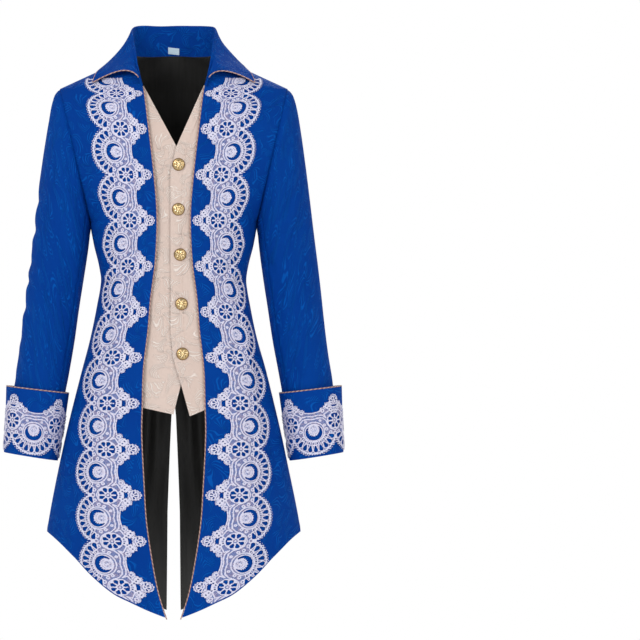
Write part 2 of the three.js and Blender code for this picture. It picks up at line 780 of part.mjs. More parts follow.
function vestPanel({ side, inset, low, outLow }, freeEdge) {
  const outer = [];
  const inner = [];
  const line = (z, drop) => {
    const outerRow = [];
    const innerRow = [];
    for (let column = 0; column <= VEST.columns; column += 1) {
      const share = column / VEST.columns;
      const hidden = side * (read(EDGE, 'x', z) + VEST.under);
      const height = mix(z, mix(z, outLow, share), drop);
      const x = mix(straight(freeEdge, 'x', z), hidden, share);
      outerRow.push(vestPlace(x, height, inset));
      innerRow.push(vestPlace(x, height, inset + VEST_CLOTH));
    }
    outer.push(outerRow);
    inner.push(innerRow);
  };
  VEST.levels.forEach((z) => line(z, 0));
  for (let row = 1; row <= VEST.endRows; row += 1) {
    const share = row / VEST.endRows;
    line(mix(VEST.level, low, share), share);
  }
  return { outer, inner };
}

function button({ x, z }) {
  const profile = BUTTON_PROFILE.map(({ r, h }) => new THREE.Vector2(r, h));
  const geometry = new THREE.LatheGeometry(profile, BUTTON_SIDES);
  const turn = turnAt(x, z);
  const normal = bodyNormal(1, turn, z);
  geometry.applyQuaternion(new THREE.Quaternion().setFromUnitVectors(point(0, 1, 0), normal));
  const place = vestPlace(x, z, VEST.left.inset - BUTTON_SEAT);
  return geometry.translate(place.x, place.y, place.z);
}

// Lace is drawn flat, as distance along the band and out from the garment's edge
function laceOutline(fans, each, shape) {
  const inside = [];
  const outside = [];
  for (let k = -2; k < fans; k += 1) {
    const centre = k * each;
    inside.push({ along: centre, out: shape.bay });
    LOBES.forEach(({ along, out }) => {
      inside.push({ along: centre + each / 2 + (along * each) / LACE.each, out: out + shape.shift });
    });
    const meet = asin(min(each / 2 / shape.reach, 1));
    outside.push({ along: centre - each / 2, out: shape.eye + shape.reach * cos(meet) });
    FAN_ANGLES.forEach((angle) => {
      const turn = degrees(angle);
      outside.push({ along: centre + shape.reach * sin(turn), out: shape.eye + shape.reach * cos(turn) });
    });
  }
  return { inside, outside };
}

function laceHoles(fans, each, eye) {
  const holes = [];
  for (let k = -1; k < fans; k += 1) {
    const centre = k * each;
    holes.push(CRESCENT.map(({ along, out }) => ({ along: centre + along, out: eye + out })));
    PETALS.angles.forEach((angle) => {
      const at = (r, turn) => ({ along: centre + r * sin(degrees(turn)), out: eye + r * cos(degrees(turn)) });
      const { from, to, spread } = PETALS;
      holes.push([at(from, angle), at(to, angle + spread), at(to, angle - spread)]);
    });
  }
  return holes;
}

// Points inside the band that let its wall follow the round of the cloth; a slight wave keeps
// any three of them off one line
function lacePoints(fans, each, eye) {
  const points = [];
  for (let k = -1; k < fans; k += 1) {
    FIRM_POINTS.forEach(({ along, out }) => {
      const spot = k * each + (along * each) / LACE.each;
      points.push([{ along: spot, out: eye + out + WAVE * sin(spot) }]);
    });
  }
  return points;
}

// Keeps the part of a line of points where inside() holds, and ends it on the border
function clipped(line, inside) {
  const kept = [];
  const border = (a, b) => {
    let low = 0;
    let high = 1;
    const at = (t) => ({ along: mix(a.along, b.along, t), out: mix(a.out, b.out, t) });
    for (let i = 0; i < HALVINGS; i += 1) {
      const middle = (low + high) / 2;
      if (inside(at(middle))) low = middle;
      else high = middle;
    }
    return at(low);
  };
  line.forEach((p, i) => {
    const before = line[i - 1];
    if (inside(p)) {
      if (before && !inside(before)) kept.push(border(p, before));
      kept.push(p);
    } else if (before && inside(before)) {
      kept.push(border(before, p));
    }
  });
  return kept;
}

// Turns long thin triangles into compact ones by swapping the diagonals of convex pairs
function compactTriangles(flat, triangles) {
  const area = (a, b, c) => {
    const [p, q, r] = [flat[a], flat[b], flat[c]];
    return (q.x - p.x) * (r.y - p.y) - (q.y - p.y) * (r.x - p.x);
  };
  const angle = (at, a, b) => {
    const p = flat[a].clone().sub(flat[at]);
    const q = flat[b].clone().sub(flat[at]);
    return abs(p.angleTo(q));
  };
  const faces = triangles.map(([a, b, c]) => (area(a, b, c) > 0 ? [a, b, c] : [a, c, b]));
  for (let pass = 0; pass < MAX_PASSES; pass += 1) {
    const sides = new Map();
    let swaps = 0;
    faces.forEach((face, index) => face.forEach((a, i) => sides.set(`${a},${face[(i + 1) % 3]}`, index)));
    const touched = new Set();
    for (let first = 0; first < faces.length; first += 1) {
      for (let i = 0; i < 3 && !touched.has(first); i += 1) {
        const [a, b, c] = [0, 1, 2].map((k) => faces[first][(i + k) % 3]);
        const second = sides.get(`${b},${a}`);
        if (second === undefined || touched.has(second) || !faces[second].includes(a)) continue;
        const d = faces[second].find((corner) => corner !== a && corner !== b);
        const convex = area(c, a, d) > CONVEX_AREA && area(d, b, c) > CONVEX_AREA;
        if (convex && angle(c, a, b) + angle(d, a, b) > PI + ANGLE_SLACK) {
          faces[first] = [c, a, d];
          faces[second] = [d, b, c];
          touched.add(first).add(second);
          swaps += 1;
        }
      }
    }
    if (swaps === 0) break;
  }
  return faces;
}

// A lace wall from its flat outline and holes; place(along, out, lift) puts a point on the cloth
function laceWall(outline, holes, lift, place) {
  const toVector = ({ along, out }) => new THREE.Vector2(along, out);
  const contour = outline.map(toVector);
  const cuts = holes.map((hole) => hole.map(toVector));
  const flat = [contour, ...cuts].flat();
  const faces = compactTriangles(flat, THREE.ShapeUtils.triangulateShape(contour, cuts));
  const top = flat.map(({ x, y }) => place(x, y, lift + LACE_CLOTH));
  const bottom = flat.map(({ x, y }) => place(x, y, lift));
  const far = flat.length;
  const triangles = [];
  const sides = new Set();
  for (const [a, b, c] of faces) {
    triangles.push([a, b, c], [a + far, c + far, b + far]);
    [[a, b], [b, c], [c, a]].forEach(([p, q]) => sides.add(`${p},${q}`));
  }
  for (const key of sides) {
    const [a, b] = key.split(',').map(Number);
    if (!sides.has(`${b},${a}`)) triangles.push([b, a, a + far], [b, a + far, b + far]);
  }
  return solid([...top, ...bottom], triangles);
}

// Lace on a front: the band's length becomes height, shortened where the shoulder slopes away
const laceHeight = (along) => LACE.firstFan - (along < 0 ? along * LACE.shoulderShrink : along);

function widened(out, z) {
  const grown = THREE.MathUtils.smoothstep(-z, -LACE.widenFrom, -LACE.widenTo) * LACE.widen;
  return out + grown * (out < LACE.eye ? out / LACE.eye : 1 - (out - LACE.eye) / (2 * LACE.reach));
}

function turnFromEdge(z, distance) {
  let turn = edgeTurn(z);
  let walked = 0;
  let before = bodyPoint(1, turn, z);
  while (walked < distance) {
    const after = bodyPoint(1, turn + WALK_TURN, z);
    const stride = after.distanceTo(before);
    if (walked + stride >= distance) return turn + (WALK_TURN * (distance - walked)) / stride;
    walked += stride;
    turn += WALK_TURN;
    before = after;
  }
  return turn;
}

function frontLace(side, front) {
  const place = (along, out, lift) => {
    const z = laceHeight(along);
    const turn = turnFromEdge(z, widened(out, z));
    return onPanel(front, turn, z).addScaledVector(bodyNormal(side, turn, z), lift);
  };
  const clear = (rim) => ({ along, out }) => {
    const z = laceHeight(along);
    const hem = hemHeight(turnFromEdge(z, widened(out, z))) + LACE.hemInset;
    return along > LACE.start + rim && z > hem + rim;
  };
  const shape = { eye: LACE.eye, reach: LACE.reach, bay: BAY, shift: 0 };
  const { inside, outside } = laceOutline(LACE.fans, LACE.each, shape);
  const inner = clipped(inside, clear(0));
  const outer = clipped(outside, clear(0));
  const low = outer[outer.length - 1];
  const end = inner[inner.length - 1];
  const hem = HEM_SHARES.map((share) => {
    const out = mix(low.out, end.out, share);
    const fall = [low.along - LACE.each, end.along + LACE.each].map((along) => ({ along, out }));
    return clipped(fall, clear(0))[1];
  });
  const top = TOP_SHARES.map((share) => ({
    along: inner[0].along - TOP_RISE * sin(PI * share),
    out: mix(inner[0].out, outer[0].out, share),
  }));
  const outline = [...outer, ...hem, ...inner.reverse(), ...top];
  const holes = [laceHoles, lacePoints]
    .flatMap((make) => make(LACE.fans, LACE.each, LACE.eye))
    .filter((hole) => hole.every(clear(HOLE_RIM)));
  return laceWall(outline, holes, LACE_LIFT, place);
}

// Lace round a cuff, from one side of the slit to the other
function cuffLace(side) {
  const around = 2 * PI * cuffRadius;
  const each = around / CUFF_LACE.fans;
  const place = (along, out, lift) => {
    const armTurn = PI / 2 + along / cuffRadius;
    const up = 1 - out / CUFF.tall;
    return cuffPoint(side, up, armTurn).addScaledVector(cuffNormal(side, up, armTurn), lift);
  };
  const limit = around / 2 - CUFF.slitHalf - CUFF_LACE.end;
  const within = (rim) => ({ along }) => abs(along) < limit - rim;
  const shape = { eye: CUFF_LACE.eye, reach: CUFF_LACE.reach, bay: CUFF_LACE.bay, shift: CUFF_LACE.shift };
  const move = (p) => ({ along: p.along - each, out: p.out });
  const { inside, outside } = laceOutline(CUFF_LACE.fans, each, shape);
  const inner = clipped(inside.map(move), within(0));
  const outer = clipped(outside.map(move), within(0));
  const holes = [laceHoles, lacePoints]
    .flatMap((make) => make(CUFF_LACE.fans, each, CUFF_LACE.eye))
    .map((hole) => hole.map(move))
    .filter((hole) => hole.every(within(HOLE_RIM)));
  return laceWall([...outer, ...inner.reverse()], holes, CUFF_LACE_LIFT, place);
}

// Piping that lies along the free edge of a wall, clear of it by the seam gap
function edgePiping(outerEdge, innerEdge, inwards) {
  const middles = outerEdge.map((p, i) => p.clone().lerp(innerEdge[i], 0.5));
  const path = middles.map((middle, i) => {
    const normal = outerEdge[i].clone().sub(innerEdge[i]).normalize();
    const next = middles[min(i + 1, middles.length - 1)].clone().sub(middle).normalize();
    const last = middle.clone().sub(middles[max(i - 1, 0)]).normalize();
    const along = next.clone().add(last).normalize();
    const bend = max(along.dot(next), along.dot(last), LEAST_BEND);
    const away = along.cross(normal).normalize();
    const reach = (PIPE + SEAM_GAP + PIPE_SLACK) / bend;
    return middle.clone().addScaledVector(away, away.dot(inwards[i]) > 0 ? -reach : reach);
  });
  return cord(path, PIPE, PIPE_SIDES);
}

const spotsOf = (grid, line) => line.map(([row, column]) => grid[row][column]);

// The way into the wall from each spot of its edge
function wayIn(grid, line) {
  const lastRow = grid.length - 1;
  const lastColumn = grid[0].length - 1;
  return line.map(([row, column]) => {
    const way = point(0, 0, 0);
    const towards = (r, c) => way.add(unit(grid[row][column], grid[r][c]));
    if (column === 0) towards(row, 1);
    if (column === lastColumn) towards(row, lastColumn - 1);
    if (row === 0) towards(1, column);
    if (row === lastRow) towards(lastRow - 1, column);
    return way;
  });
}

function frontPiping({ outer, inner }) {
  const line = [];
  outer.forEach((row, i) => {
    if (row[0].z < PIPE_START) line.push([i, 0]);
  });
  const inwards = line.map(([row]) => unit(outer[row][0], outer[row][1]));
  return edgePiping(spotsOf(outer, line), spotsOf(inner, line), inwards);
}

function cuffPiping({ outer, inner }) {
  const top = outer.length - 1;
  const last = outer[0].length - 1;
  const line = [];
  for (let row = 0; row < top; row += 1) line.push([row, 0]);
  for (let column = 0; column <= last; column += 1) line.push([top, column]);
  for (let row = top - 1; row >= 0; row -= 1) line.push([row, last]);
  const inwards = wayIn(outer, line);
  inwards[0] = unit(outer[0][0], outer[0][1]);
  inwards[line.length - 1] = unit(outer[0][last], outer[0][last - 1]);
  return edgePiping(spotsOf(outer, line), spotsOf(inner, line), inwards);
}

function collarPiping(outer, inner) {
  const last = outer.length - 1;
  const edge = outer[0].length - 1;
  const start = COLLAR_PIPE_START;
  const line = [];
  for (let column = start; column < edge; column += 1) line.push([0, column]);
  for (let row = 0; row <= last; row += 1) line.push([row, edge]);
  for (let column = edge - 1; column >= start; column -= 1) line.push([last, column]);
  return edgePiping(spotsOf(outer, line), spotsOf(inner, line), wayIn(outer, line));
}

// Size tab on the inner side of the collar's stand, bent at the middle as the stand is
function sizeTab(collar) {
  const middle = (collar.length - 1) / 2;
  const spot = (x, height) => {
    const next = collar[middle + (x < 0 ? -1 : 1)];
    const at = (row) => row[0].clone().lerp(row[2], (height - row[0].z) / (row[2].z - row[0].z));
    const here = at(collar[middle]);
    return here.lerp(at(next), abs(x) / abs(next[0].x));
  };
  const grid = [TAB.low, TAB.high].map((height) => [-1, 0, 1].map((way) => (
    spot(way * TAB.half, height + way * TAB.tilt).add(point(0, -SEAM_GAP, 0))
  )));
  const front = grid.map((row) => row.map((p) => p.clone().add(point(0, -LABEL_CLOTH, 0))));
  return wall(grid, front);
}

// The coat, piece by piece; left and right are the wearer's
const SIDES = [
  { word: 'left', side: 1 },
  { word: 'right', side: -1 },
];
const LINING_LAYER = { depth: CLOTH + LINING_GAP, cloth: LINING_CLOTH, inset: 8 };

for (const { word, side } of SIDES) {
  const front = frontPanel(side);
  const back = backPanel(side, COAT_LAYER, SEAM_GAP / 2);
  const sideBack = sideBackPanel(side);
  const topSleeve = sleevePanel(side, SLEEVE_BACK_SEAM, SLEEVE_INNER_SEAM);
  const underSleeve = sleevePanel(side, SLEEVE_INNER_SEAM, SLEEVE_BACK_SEAM + 2 * HALF_STEPS);
  const cuff = cuffPanel(side);
  const lining = backPanel(side, LINING_LAYER, 1);
  add(`front_${word}`, wall(front.outer, front.inner), 'blue');
  add(`back_${word}`, wall(back.outer, back.inner), 'blue');
  add(`side_back_${word}`, wall(sideBack.outer, sideBack.inner), 'blue');
  add(`top_sleeve_${word}`, wall(topSleeve.outer, topSleeve.inner), 'blue');
  add(`under_sleeve_${word}`, wall(underSleeve.outer, underSleeve.inner), 'blue');
  add(`cuff_${word}`, wall(cuff.outer, cuff.inner), 'blue');
  add(`lining_back_${word}`, wall(lining.outer.slice(2), lining.inner.slice(2)), 'lining');
  add(`piping_front_${word}`, frontPiping(front), 'piping');
  add(`piping_cuff_${word}`, cuffPiping(cuff), 'piping');
  add(`lace_front_${word}`, frontLace(side, front), 'lace');
  add(`lace_cuff_${word}`, cuffLace(side), 'lace');
}

const collar = collarGrid();
const collarUnder = offsetGrid(collar, gridNormals(collar), -COLLAR_CLOTH);
add('collar', wall(collar, collarUnder), 'blue');
add('piping_collar', collarPiping(collar, collarUnder), 'piping');
add('label', sizeTab(collar), 'tab');

const vestLeft = vestPanel(VEST.left, VEST_LEFT_EDGE);
const vestRight = vestPanel(VEST.right, VEST_RIGHT_EDGE);
add('vest_left', wall(vestLeft.outer, vestLeft.inner), 'cream');
add('vest_right', wall(vestRight.outer, vestRight.inner), 'cream');
BUTTONS.forEach((place, i) => add(`button_${i + 1}`, button(place), 'brass'));

export default coat;
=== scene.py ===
# %% [markdown]
# # A royal-blue tailcoat
# The coat is shown filled out, as it hangs on a wearer, with an open neck, hem, cuffs and armholes.
# Every cut piece of cloth is rebuilt as a fine grid on the same round as its solid, so the seams
# meet where the solids meet. All shapes are worked out in millimetres and scaled at the end.

# %% Load the frame
import bpy
import math
import numpy as np
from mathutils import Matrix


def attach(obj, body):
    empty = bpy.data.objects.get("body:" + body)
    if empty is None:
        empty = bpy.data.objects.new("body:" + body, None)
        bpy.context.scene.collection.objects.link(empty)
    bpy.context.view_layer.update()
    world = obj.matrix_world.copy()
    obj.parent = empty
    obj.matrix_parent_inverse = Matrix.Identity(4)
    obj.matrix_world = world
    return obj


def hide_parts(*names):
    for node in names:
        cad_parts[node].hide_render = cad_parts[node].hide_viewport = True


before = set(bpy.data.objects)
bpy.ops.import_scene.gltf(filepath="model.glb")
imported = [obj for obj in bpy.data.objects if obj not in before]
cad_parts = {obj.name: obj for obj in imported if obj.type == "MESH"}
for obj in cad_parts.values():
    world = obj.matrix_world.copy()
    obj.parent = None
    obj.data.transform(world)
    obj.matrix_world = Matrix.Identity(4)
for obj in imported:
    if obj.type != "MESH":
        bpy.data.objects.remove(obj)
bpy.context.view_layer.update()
MM = 0.001
SIDES = (("left", 1), ("right", -1))

# %% [markdown]
# ## Camera first
# The photograph looks level at the coat from far away, so a long lens keeps the outline as it is
# drawn. The coat stands left of the middle of the picture, which a sideways shift of the lens
# gives without turning the camera.

# %% Camera
DISTANCE = 9.0
FRAME_WIDTH = 1.152
SHIFT = 0.2286
LEVEL = -0.477
SENSOR = 36
lens = bpy.data.cameras.new("camera")
lens.sensor_width = SENSOR
lens.lens = SENSOR * DISTANCE / FRAME_WIDTH
lens.shift_x = SHIFT
lens.clip_end = 60
camera = bpy.data.objects.new("camera", lens)
bpy.context.scene.collection.objects.link(camera)
camera.location = (0, -DISTANCE, LEVEL)
camera.rotation_euler = (math.pi / 2, 0, 0)
bpy.context.scene.camera = camera
print("lens", round(lens.lens), "mm")

# %% [markdown]
# ## Reading the pattern tables
# A pattern maker keeps a garment as a short list of measures. Each table here gives a measure at
# a few heights, and one smooth curve through the rows gives it everywhere between them.

# %% Curves through tables
def read(table, at):
    """Cubic through (key, value) rows: each span is a Hermite piece whose end slopes are those of
    the chords over its neighbours, and the curve is level beyond the first and the last row."""
    keys, values = np.array(sorted(table), float).T
    before = np.concatenate([[0], np.arange(len(keys) - 1)])
    after = np.concatenate([np.arange(1, len(keys)), [len(keys) - 1]])
    slopes = (values[after] - values[before]) / (keys[after] - keys[before])
    at = np.clip(at, keys[0], keys[-1])
    i = np.clip(np.searchsorted(keys, at) - 1, 0, len(keys) - 2)
    span = keys[i + 1] - keys[i]
    t = (at - keys[i]) / span
    start = (2 * t - 3) * t * t + 1
    pull = ((t - 2) * t + 1) * t * span * slopes[i] + (t - 1) * t * t * span * slopes[i + 1]
    return start * values[i] + (1 - start) * values[i + 1] + pull


def straight(table, at):
    """Straight lines through (key, value) rows, level beyond the ends."""
    keys, values = np.array(sorted(table), float).T
    return np.interp(at, keys, values)


def smooth(t):
    """3 t^2 - 2 t^3 for t held between 0 and 1."""
    t = np.clip(t, 0, 1)
    return t * t * (3 - 2 * t)


def mix(a, b, t):
    return a + (b - a) * t


def unit(v):
    return v / np.maximum(np.linalg.norm(v, axis=-1, keepdims=True), 1e-9)


HALF = [(2, 150), (-200, 150), (-300, 150), (-337, 144), (-380, 133.5), (-409, 130.5), (-452, 138),
        (-509, 150), (-567, 165), (-625, 179), (-711, 199), (-797, 218), (-855, 228), (-1011, 244)]
FRONT = [(2, 50), (-12, 62), (-25, 69), (-40, 75), (-62, 82), (-100, 92), (-150, 101), (-200, 106),
         (-300, 106), (-337, 101), (-380, 94), (-409, 92), (-452, 95), (-509, 101), (-567, 107),
         (-625, 112), (-711, 118), (-797, 122), (-855, 124), (-1011, 128)]
BACK = [(2, 62), (-12, 69), (-25, 76), (-40, 84), (-62, 92), (-100, 100), (-150, 107), (-200, 110),
        (-300, 103), (-337, 97), (-380, 90), (-409, 88), (-452, 93), (-509, 103), (-567, 112),
        (-625, 118), (-711, 126), (-797, 132), (-855, 136), (-1011, 142)]
EDGE = [(2, 70), (-12, 68), (-25, 65), (-40, 61), (-59, 55.3), (-135, 45.7), (-207, 37.3), (-288, 30.8),
        (-369, 33.7), (-441, 42.7), (-495, 47), (-563, 55), (-628, 57.5), (-680, 59), (-783, 55),
        (-837, 51.7), (-900, 42.7), (-963, 30), (-1011, 13.9)]
HEM = [(0, -1008), (14, -1006), (47, -993), (73, -980), (101, -965), (136, -937), (169, -909),
       (191, -892), (210, -875), (228, -857)]
PRINCESS = [(-212, 170), (-240, 137), (-285, 119), (-350, 96), (-400, 91), (-480, 97), (-563, 109),
            (-627, 127), (-763, 140), (-877, 136), (-990, 130)]
VENT = [(-610, 0), (-653, 4.2), (-711, 7), (-769, 9.5), (-826, 11.7), (-1011, 13.5)]
print("tables read, waist", float(read(HALF, -409)), "mm each side")

# %% [markdown]
# ## The round of the body
# A coat's body is a soft box: flatter in front and behind than an ellipse. A superellipse with a
# power a little over 2 draws that in one line. Above the underarm the round is widened so that it
# passes through the armhole, which is an ellipse in a leaning plane.

# %% Body surface
ROUND = 2.2
NECK_HALF, SHOULDER_X, SHOULDER_Z = 70, 205, -62
ARM_X, ARM_Z, ARM_LEAN, ARM_TALL, ARM_DEEP = 177.5, -181, 27.5, 119, 60
UNDERARM = ARM_Z - ARM_TALL
HEM_HALF = 228
FLUTE, FLUTE_TOP, FLUTE_GROWS = 9, -480, 420
CLOTH_WALL = 1.9


def power(base, exponent):
    return np.sign(base) * np.abs(base) ** exponent


def armhole_at(z):
    """The armhole's x and half depth at a height: an ellipse that leans outwards as it rises."""
    up = np.clip((z - ARM_Z) / ARM_TALL, -1, 1)
    return ARM_X + ARM_LEAN * up, ARM_DEEP * np.sqrt(1 - up * up)


def half_width(z, deep):
    """Half width of the round: the shoulder line, then through the armhole, then the table."""
    x, y = armhole_at(z)
    through = x / (1 - np.minimum(y / deep, 0.99) ** ROUND) ** (1 / ROUND)
    shoulder = NECK_HALF - z * (SHOULDER_X - NECK_HALF) / -SHOULDER_Z
    return np.where(z > SHOULDER_Z, shoulder, np.where(z < UNDERARM, read(HALF, z), through))


def body_point(side, turn, z):
    """Superellipse: x is half sin^(2/p) and y is -depth cos^(2/p), drawn in by soft skirt flutes."""
    turn, z = np.broadcast_arrays(np.asarray(turn, float), np.asarray(z, float))
    deep = np.where(np.cos(turn) >= 0, read(FRONT, z), read(BACK, z))
    x = half_width(z, deep) * power(np.sin(turn), 2 / ROUND)
    y = -deep * power(np.cos(turn), 2 / ROUND)
    grown = smooth((FLUTE_TOP - z) / FLUTE_GROWS)
    flute = FLUTE * grown * 0.5 * (1 - np.cos(6 * (turn - math.pi / 2)))
    shrink = 1 - flute / np.hypot(x, y)
    return np.stack([side * x * shrink, y * shrink, z], -1)


def body_normal(side, turn, z):
    """Cross product of the steps round and up the surface."""
    across = body_point(side, turn + 0.01, z) - body_point(side, turn - 0.01, z)
    rise = body_point(side, turn, z + 1.5) - body_point(side, turn, z - 1.5)
    return unit(side * np.cross(across, rise))


def turn_at(x, z, at_back=False):
    """The turn at which the round has that x: the superellipse read backwards."""
    deep = read(BACK if at_back else FRONT, z)
    turn = np.arcsin(np.clip(x / half_width(z, deep), 0, 1) ** (ROUND / 2))
    return math.pi - turn if at_back else turn


def edge_turn(z):
    return turn_at(read(EDGE, z), z)


def armhole_turn(z, at_back):
    """Where the armhole's edge lies on the round, or the side seam below and above it."""
    deep = read(BACK if at_back else FRONT, z)
    turn = np.arccos(np.minimum(armhole_at(z)[1] / deep, 1) ** (ROUND / 2))
    turn = math.pi - turn if at_back else turn
    return np.where((z > SHOULDER_Z) | (z < UNDERARM), math.pi / 2, turn)


def front_side_turn(z):
    return armhole_turn(z, False)


def back_side_turn(z):
    return armhole_turn(z, True)


def princess_turn(z):
    return turn_at(read(PRINCESS, z), z, True)


def vent_turn(z):
    return turn_at(straight(VENT, z), z, True)


PRINCESS_TOP = ARM_Z + ARM_TALL * math.cos(6 * math.pi / 10)


def back_seam_turn(z):
    """The armhole's edge, and from the princess seam's upper end downwards that seam."""
    armhole = armhole_turn(z, True)
    return np.where(z > PRINCESS_TOP, armhole, np.maximum(armhole, princess_turn(z)))


def hem_height(turn):
    return read(HEM, HEM_HALF * np.abs(np.sin(turn)) ** (2 / ROUND))


print("chest point", body_point(1, 0.6, -200.0).round(1))

# %% [markdown]
# ## Creases
# Worn cloth pulls from the underarm, breaks at the waist and the elbow, and falls in long soft
# folds below the waist. Each crease is a trough along a line that fades at both ends. The lines
# are listed one by one and differ left and right, because even creases look printed.

# %% Crease fields
# mm across the cloth for each radian of turn, from the middle of the front or the arm's outer side
BODY_ACROSS, ARM_ACROSS = 150, 50
# columns: across from, height from, across to, height to, half width, depth; plus is the wearer's left
BODY_CREASES = [
    (190, -300, 92, -268, 11, 2.4), (196, -322, 104, -330, 9, 1.9), (182, -352, 96, -392, 10, 1.8),
    (-192, -300, -98, -256, 12, 2.5), (-198, -330, -110, -318, 9, 1.7), (-178, -362, -88, -384, 9, 1.9),
    (224, -404, 120, -418, 8, 1.6), (-226, -398, -112, -424, 8, 1.8), (150, -430, 108, -560, 13, 1.8),
    (-144, -436, -116, -590, 14, 2.0), (176, -520, 162, -800, 20, 3.0), (-182, -540, -158, -820, 22, 3.2),
    (118, -640, 126, -900, 18, 2.2), (-122, -620, -130, -910, 17, 2.4), (96, -80, 150, -128, 14, 1.4),
    (-92, -86, -154, -120, 13, 1.5), (300, -330, 404, -300, 12, 2.0), (-308, -340, -410, -312, 13, 2.1),
    (330, -420, 440, -404, 9, 1.6), (-326, -410, -436, -426, 9, 1.7), (352, -470, 372, -840, 22, 3.0),
    (-356, -480, -368, -860, 22, 3.2), (404, -520, 416, -900, 16, 2.2), (-408, -500, -422, -890, 17, 2.3),
    (372, -90, 330, -190, 16, 1.6), (-368, -84, -336, -200, 16, 1.7),
]
# columns as above
ARM_CREASES = [
    (90, -300, 30, -262, 10, 2.2), (96, -330, 36, -326, 9, 2.4), (104, -366, 30, -388, 9, 2.6),
    (84, -404, 10, -420, 8, 2.2), (100, -436, 24, -470, 10, 2.4), (76, -500, 20, -520, 9, 1.6),
    (20, -120, 44, -200, 14, 1.8), (70, -150, 62, -260, 12, 1.6), (-60, -330, -20, -350, 10, 1.8),
    (-66, -400, -16, -392, 9, 2.0), (110, -560, 60, -584, 9, 1.5), (46, -540, 40, -690, 14, 1.2),
    (-30, -130, -44, -220, 14, 1.6), (140, -350, 110, -380, 9, 2.0), (150, -440, 118, -420, 9, 1.8),
]


def crease_field(table, across, z, sway=0.0):
    """Sum of troughs: minus depth times a bell over the distance from a slightly wavy line, faded
    at its ends; each trough has a lower ridge beside it, as pushed-aside cloth has."""
    total = np.zeros(np.broadcast(across, z).shape)
    for k, (a0, z0, a1, z1, half, deep) in enumerate(table):
        along = np.array([a1 - a0, z1 - z0])
        length = math.hypot(*along)
        ux, uz = along / length
        s = (across - a0) * ux + (z - z0) * uz
        d = -(across - a0) * uz + (z - z0) * ux + (4 + sway) * np.sin(s / 23 + k)
        fade = smooth(s / (0.3 * length) + 0.3) * smooth((length - s) / (0.4 * length) + 0.3)
        fade = fade * (1 + 0.25 * np.sin(s / 31 + 2 * k))
        total -= deep * fade * np.exp(-(d / half) ** 2)
        total += 0.45 * deep * fade * np.exp(-((d - 1.7 * half) / half) ** 2)
    return total


def body_relief(side, turn, z):
    """Creases and a faint unevenness of the whole cloth."""
    across = side * turn * BODY_ACROSS
    uneven = 0.5 * np.sin(across / 37 + z / 61) + 0.4 * np.sin(across / 23 - z / 43 + 2)
    below_neck = smooth((-60 - z) / 90)
    armhole = np.where(np.cos(turn) < 0, armhole_turn(z, True), armhole_turn(z, False))
    to_armhole = np.abs(turn - armhole) * BODY_ACROSS
    free = np.maximum(smooth((to_armhole - 2) / 26), smooth((UNDERARM - 14 - z) / 40))
    return (crease_field(BODY_CREASES, across, z) + uneven) * below_neck * free


def cloth_point(side, turn, z, lift=0.0):
    """The body's surface moved along its normal by the creases and by lift."""
    lift = np.asarray(lift)[..., None] if np.ndim(lift) else lift
    relief = body_relief(side, turn, z)[..., None]
    return body_point(side, turn, z) + body_normal(side, turn, z) * (relief + lift)


print("deepest body crease", round(float(crease_field(BODY_CREASES, 176.0, np.array(-660.0))), 2), "mm")

# %% [markdown]
# ## From grids to meshes
# Blender takes a mesh fastest as flat arrays. Each piece is a wall of two grids, the face and the
# lining side, closed round its rim. Its map holds real metres, so that a weave or a woven figure
# keeps its true size on every piece.

# %% Mesh builder
materials = {}


def make_object(name, points, quads, uv, slots, face_slots=None, fields=None, sharp=40):
    """A mesh from point rows in mm and quads (or triangles as quads with -1 last)."""
    mesh = bpy.data.meshes.new(name)
    quads = np.asarray(quads)
    counts = np.where(quads[:, 3] < 0, 3, 4)
    loops = quads[quads >= 0].ravel()
    mesh.vertices.add(len(points))
    mesh.vertices.foreach_set("co", (np.asarray(points) * MM).astype(np.float32).ravel())
    mesh.loops.add(len(loops))
    mesh.loops.foreach_set("vertex_index", loops.astype(np.int32))
    mesh.polygons.add(len(quads))
    starts = np.concatenate([[0], np.cumsum(counts)[:-1]])
    mesh.polygons.foreach_set("loop_start", starts.astype(np.int32))
    layer = mesh.uv_layers.new(name="cloth")
    mesh.update(calc_edges=True)
    layer.data.foreach_set("uv", (np.asarray(uv)[loops] * MM).astype(np.float32).ravel())
    for field, values in (fields or {}).items():
        attribute = mesh.attributes.new(field, "FLOAT", "POINT")
        attribute.data.foreach_set("value", np.asarray(values, np.float32))
    for slot in slots:
        mesh.materials.append(materials[slot])
    if face_slots is not None:
        mesh.polygons.foreach_set("material_index", np.asarray(face_slots, np.int32))
    mesh.polygons.foreach_set("use_smooth", np.ones(len(quads), bool))
    if sharp:
        mesh.set_sharp_from_angle(angle=math.radians(sharp))
    mesh.validate()
    piece = bpy.data.objects.new(name, mesh)
    bpy.context.scene.collection.objects.link(piece)
    return piece


def grid_quads(rows, columns, closed=False):
    """Four corner numbers for each cell of a grid, row by row."""
    number = np.arange(rows * columns).reshape(rows, columns)
    if closed:
        number = np.concatenate([number, number[:, :1]], 1)
    a, b = number[:-1, :-1], number[:-1, 1:]
    c, d = number[1:, 1:], number[1:, :-1]
    return np.stack([a, b, c, d], -1).reshape(-1, 4)


def cap_quads(centre, ring, flip=False):
    """Triangles from a centre's number to a closed ring of numbers, with -1 as the fourth."""
    ahead = np.roll(ring, -1)
    first, second = (ahead, ring) if flip else (ring, ahead)
    return np.stack([np.full(len(ring), centre), first, second, np.full(len(ring), -1)], -1)


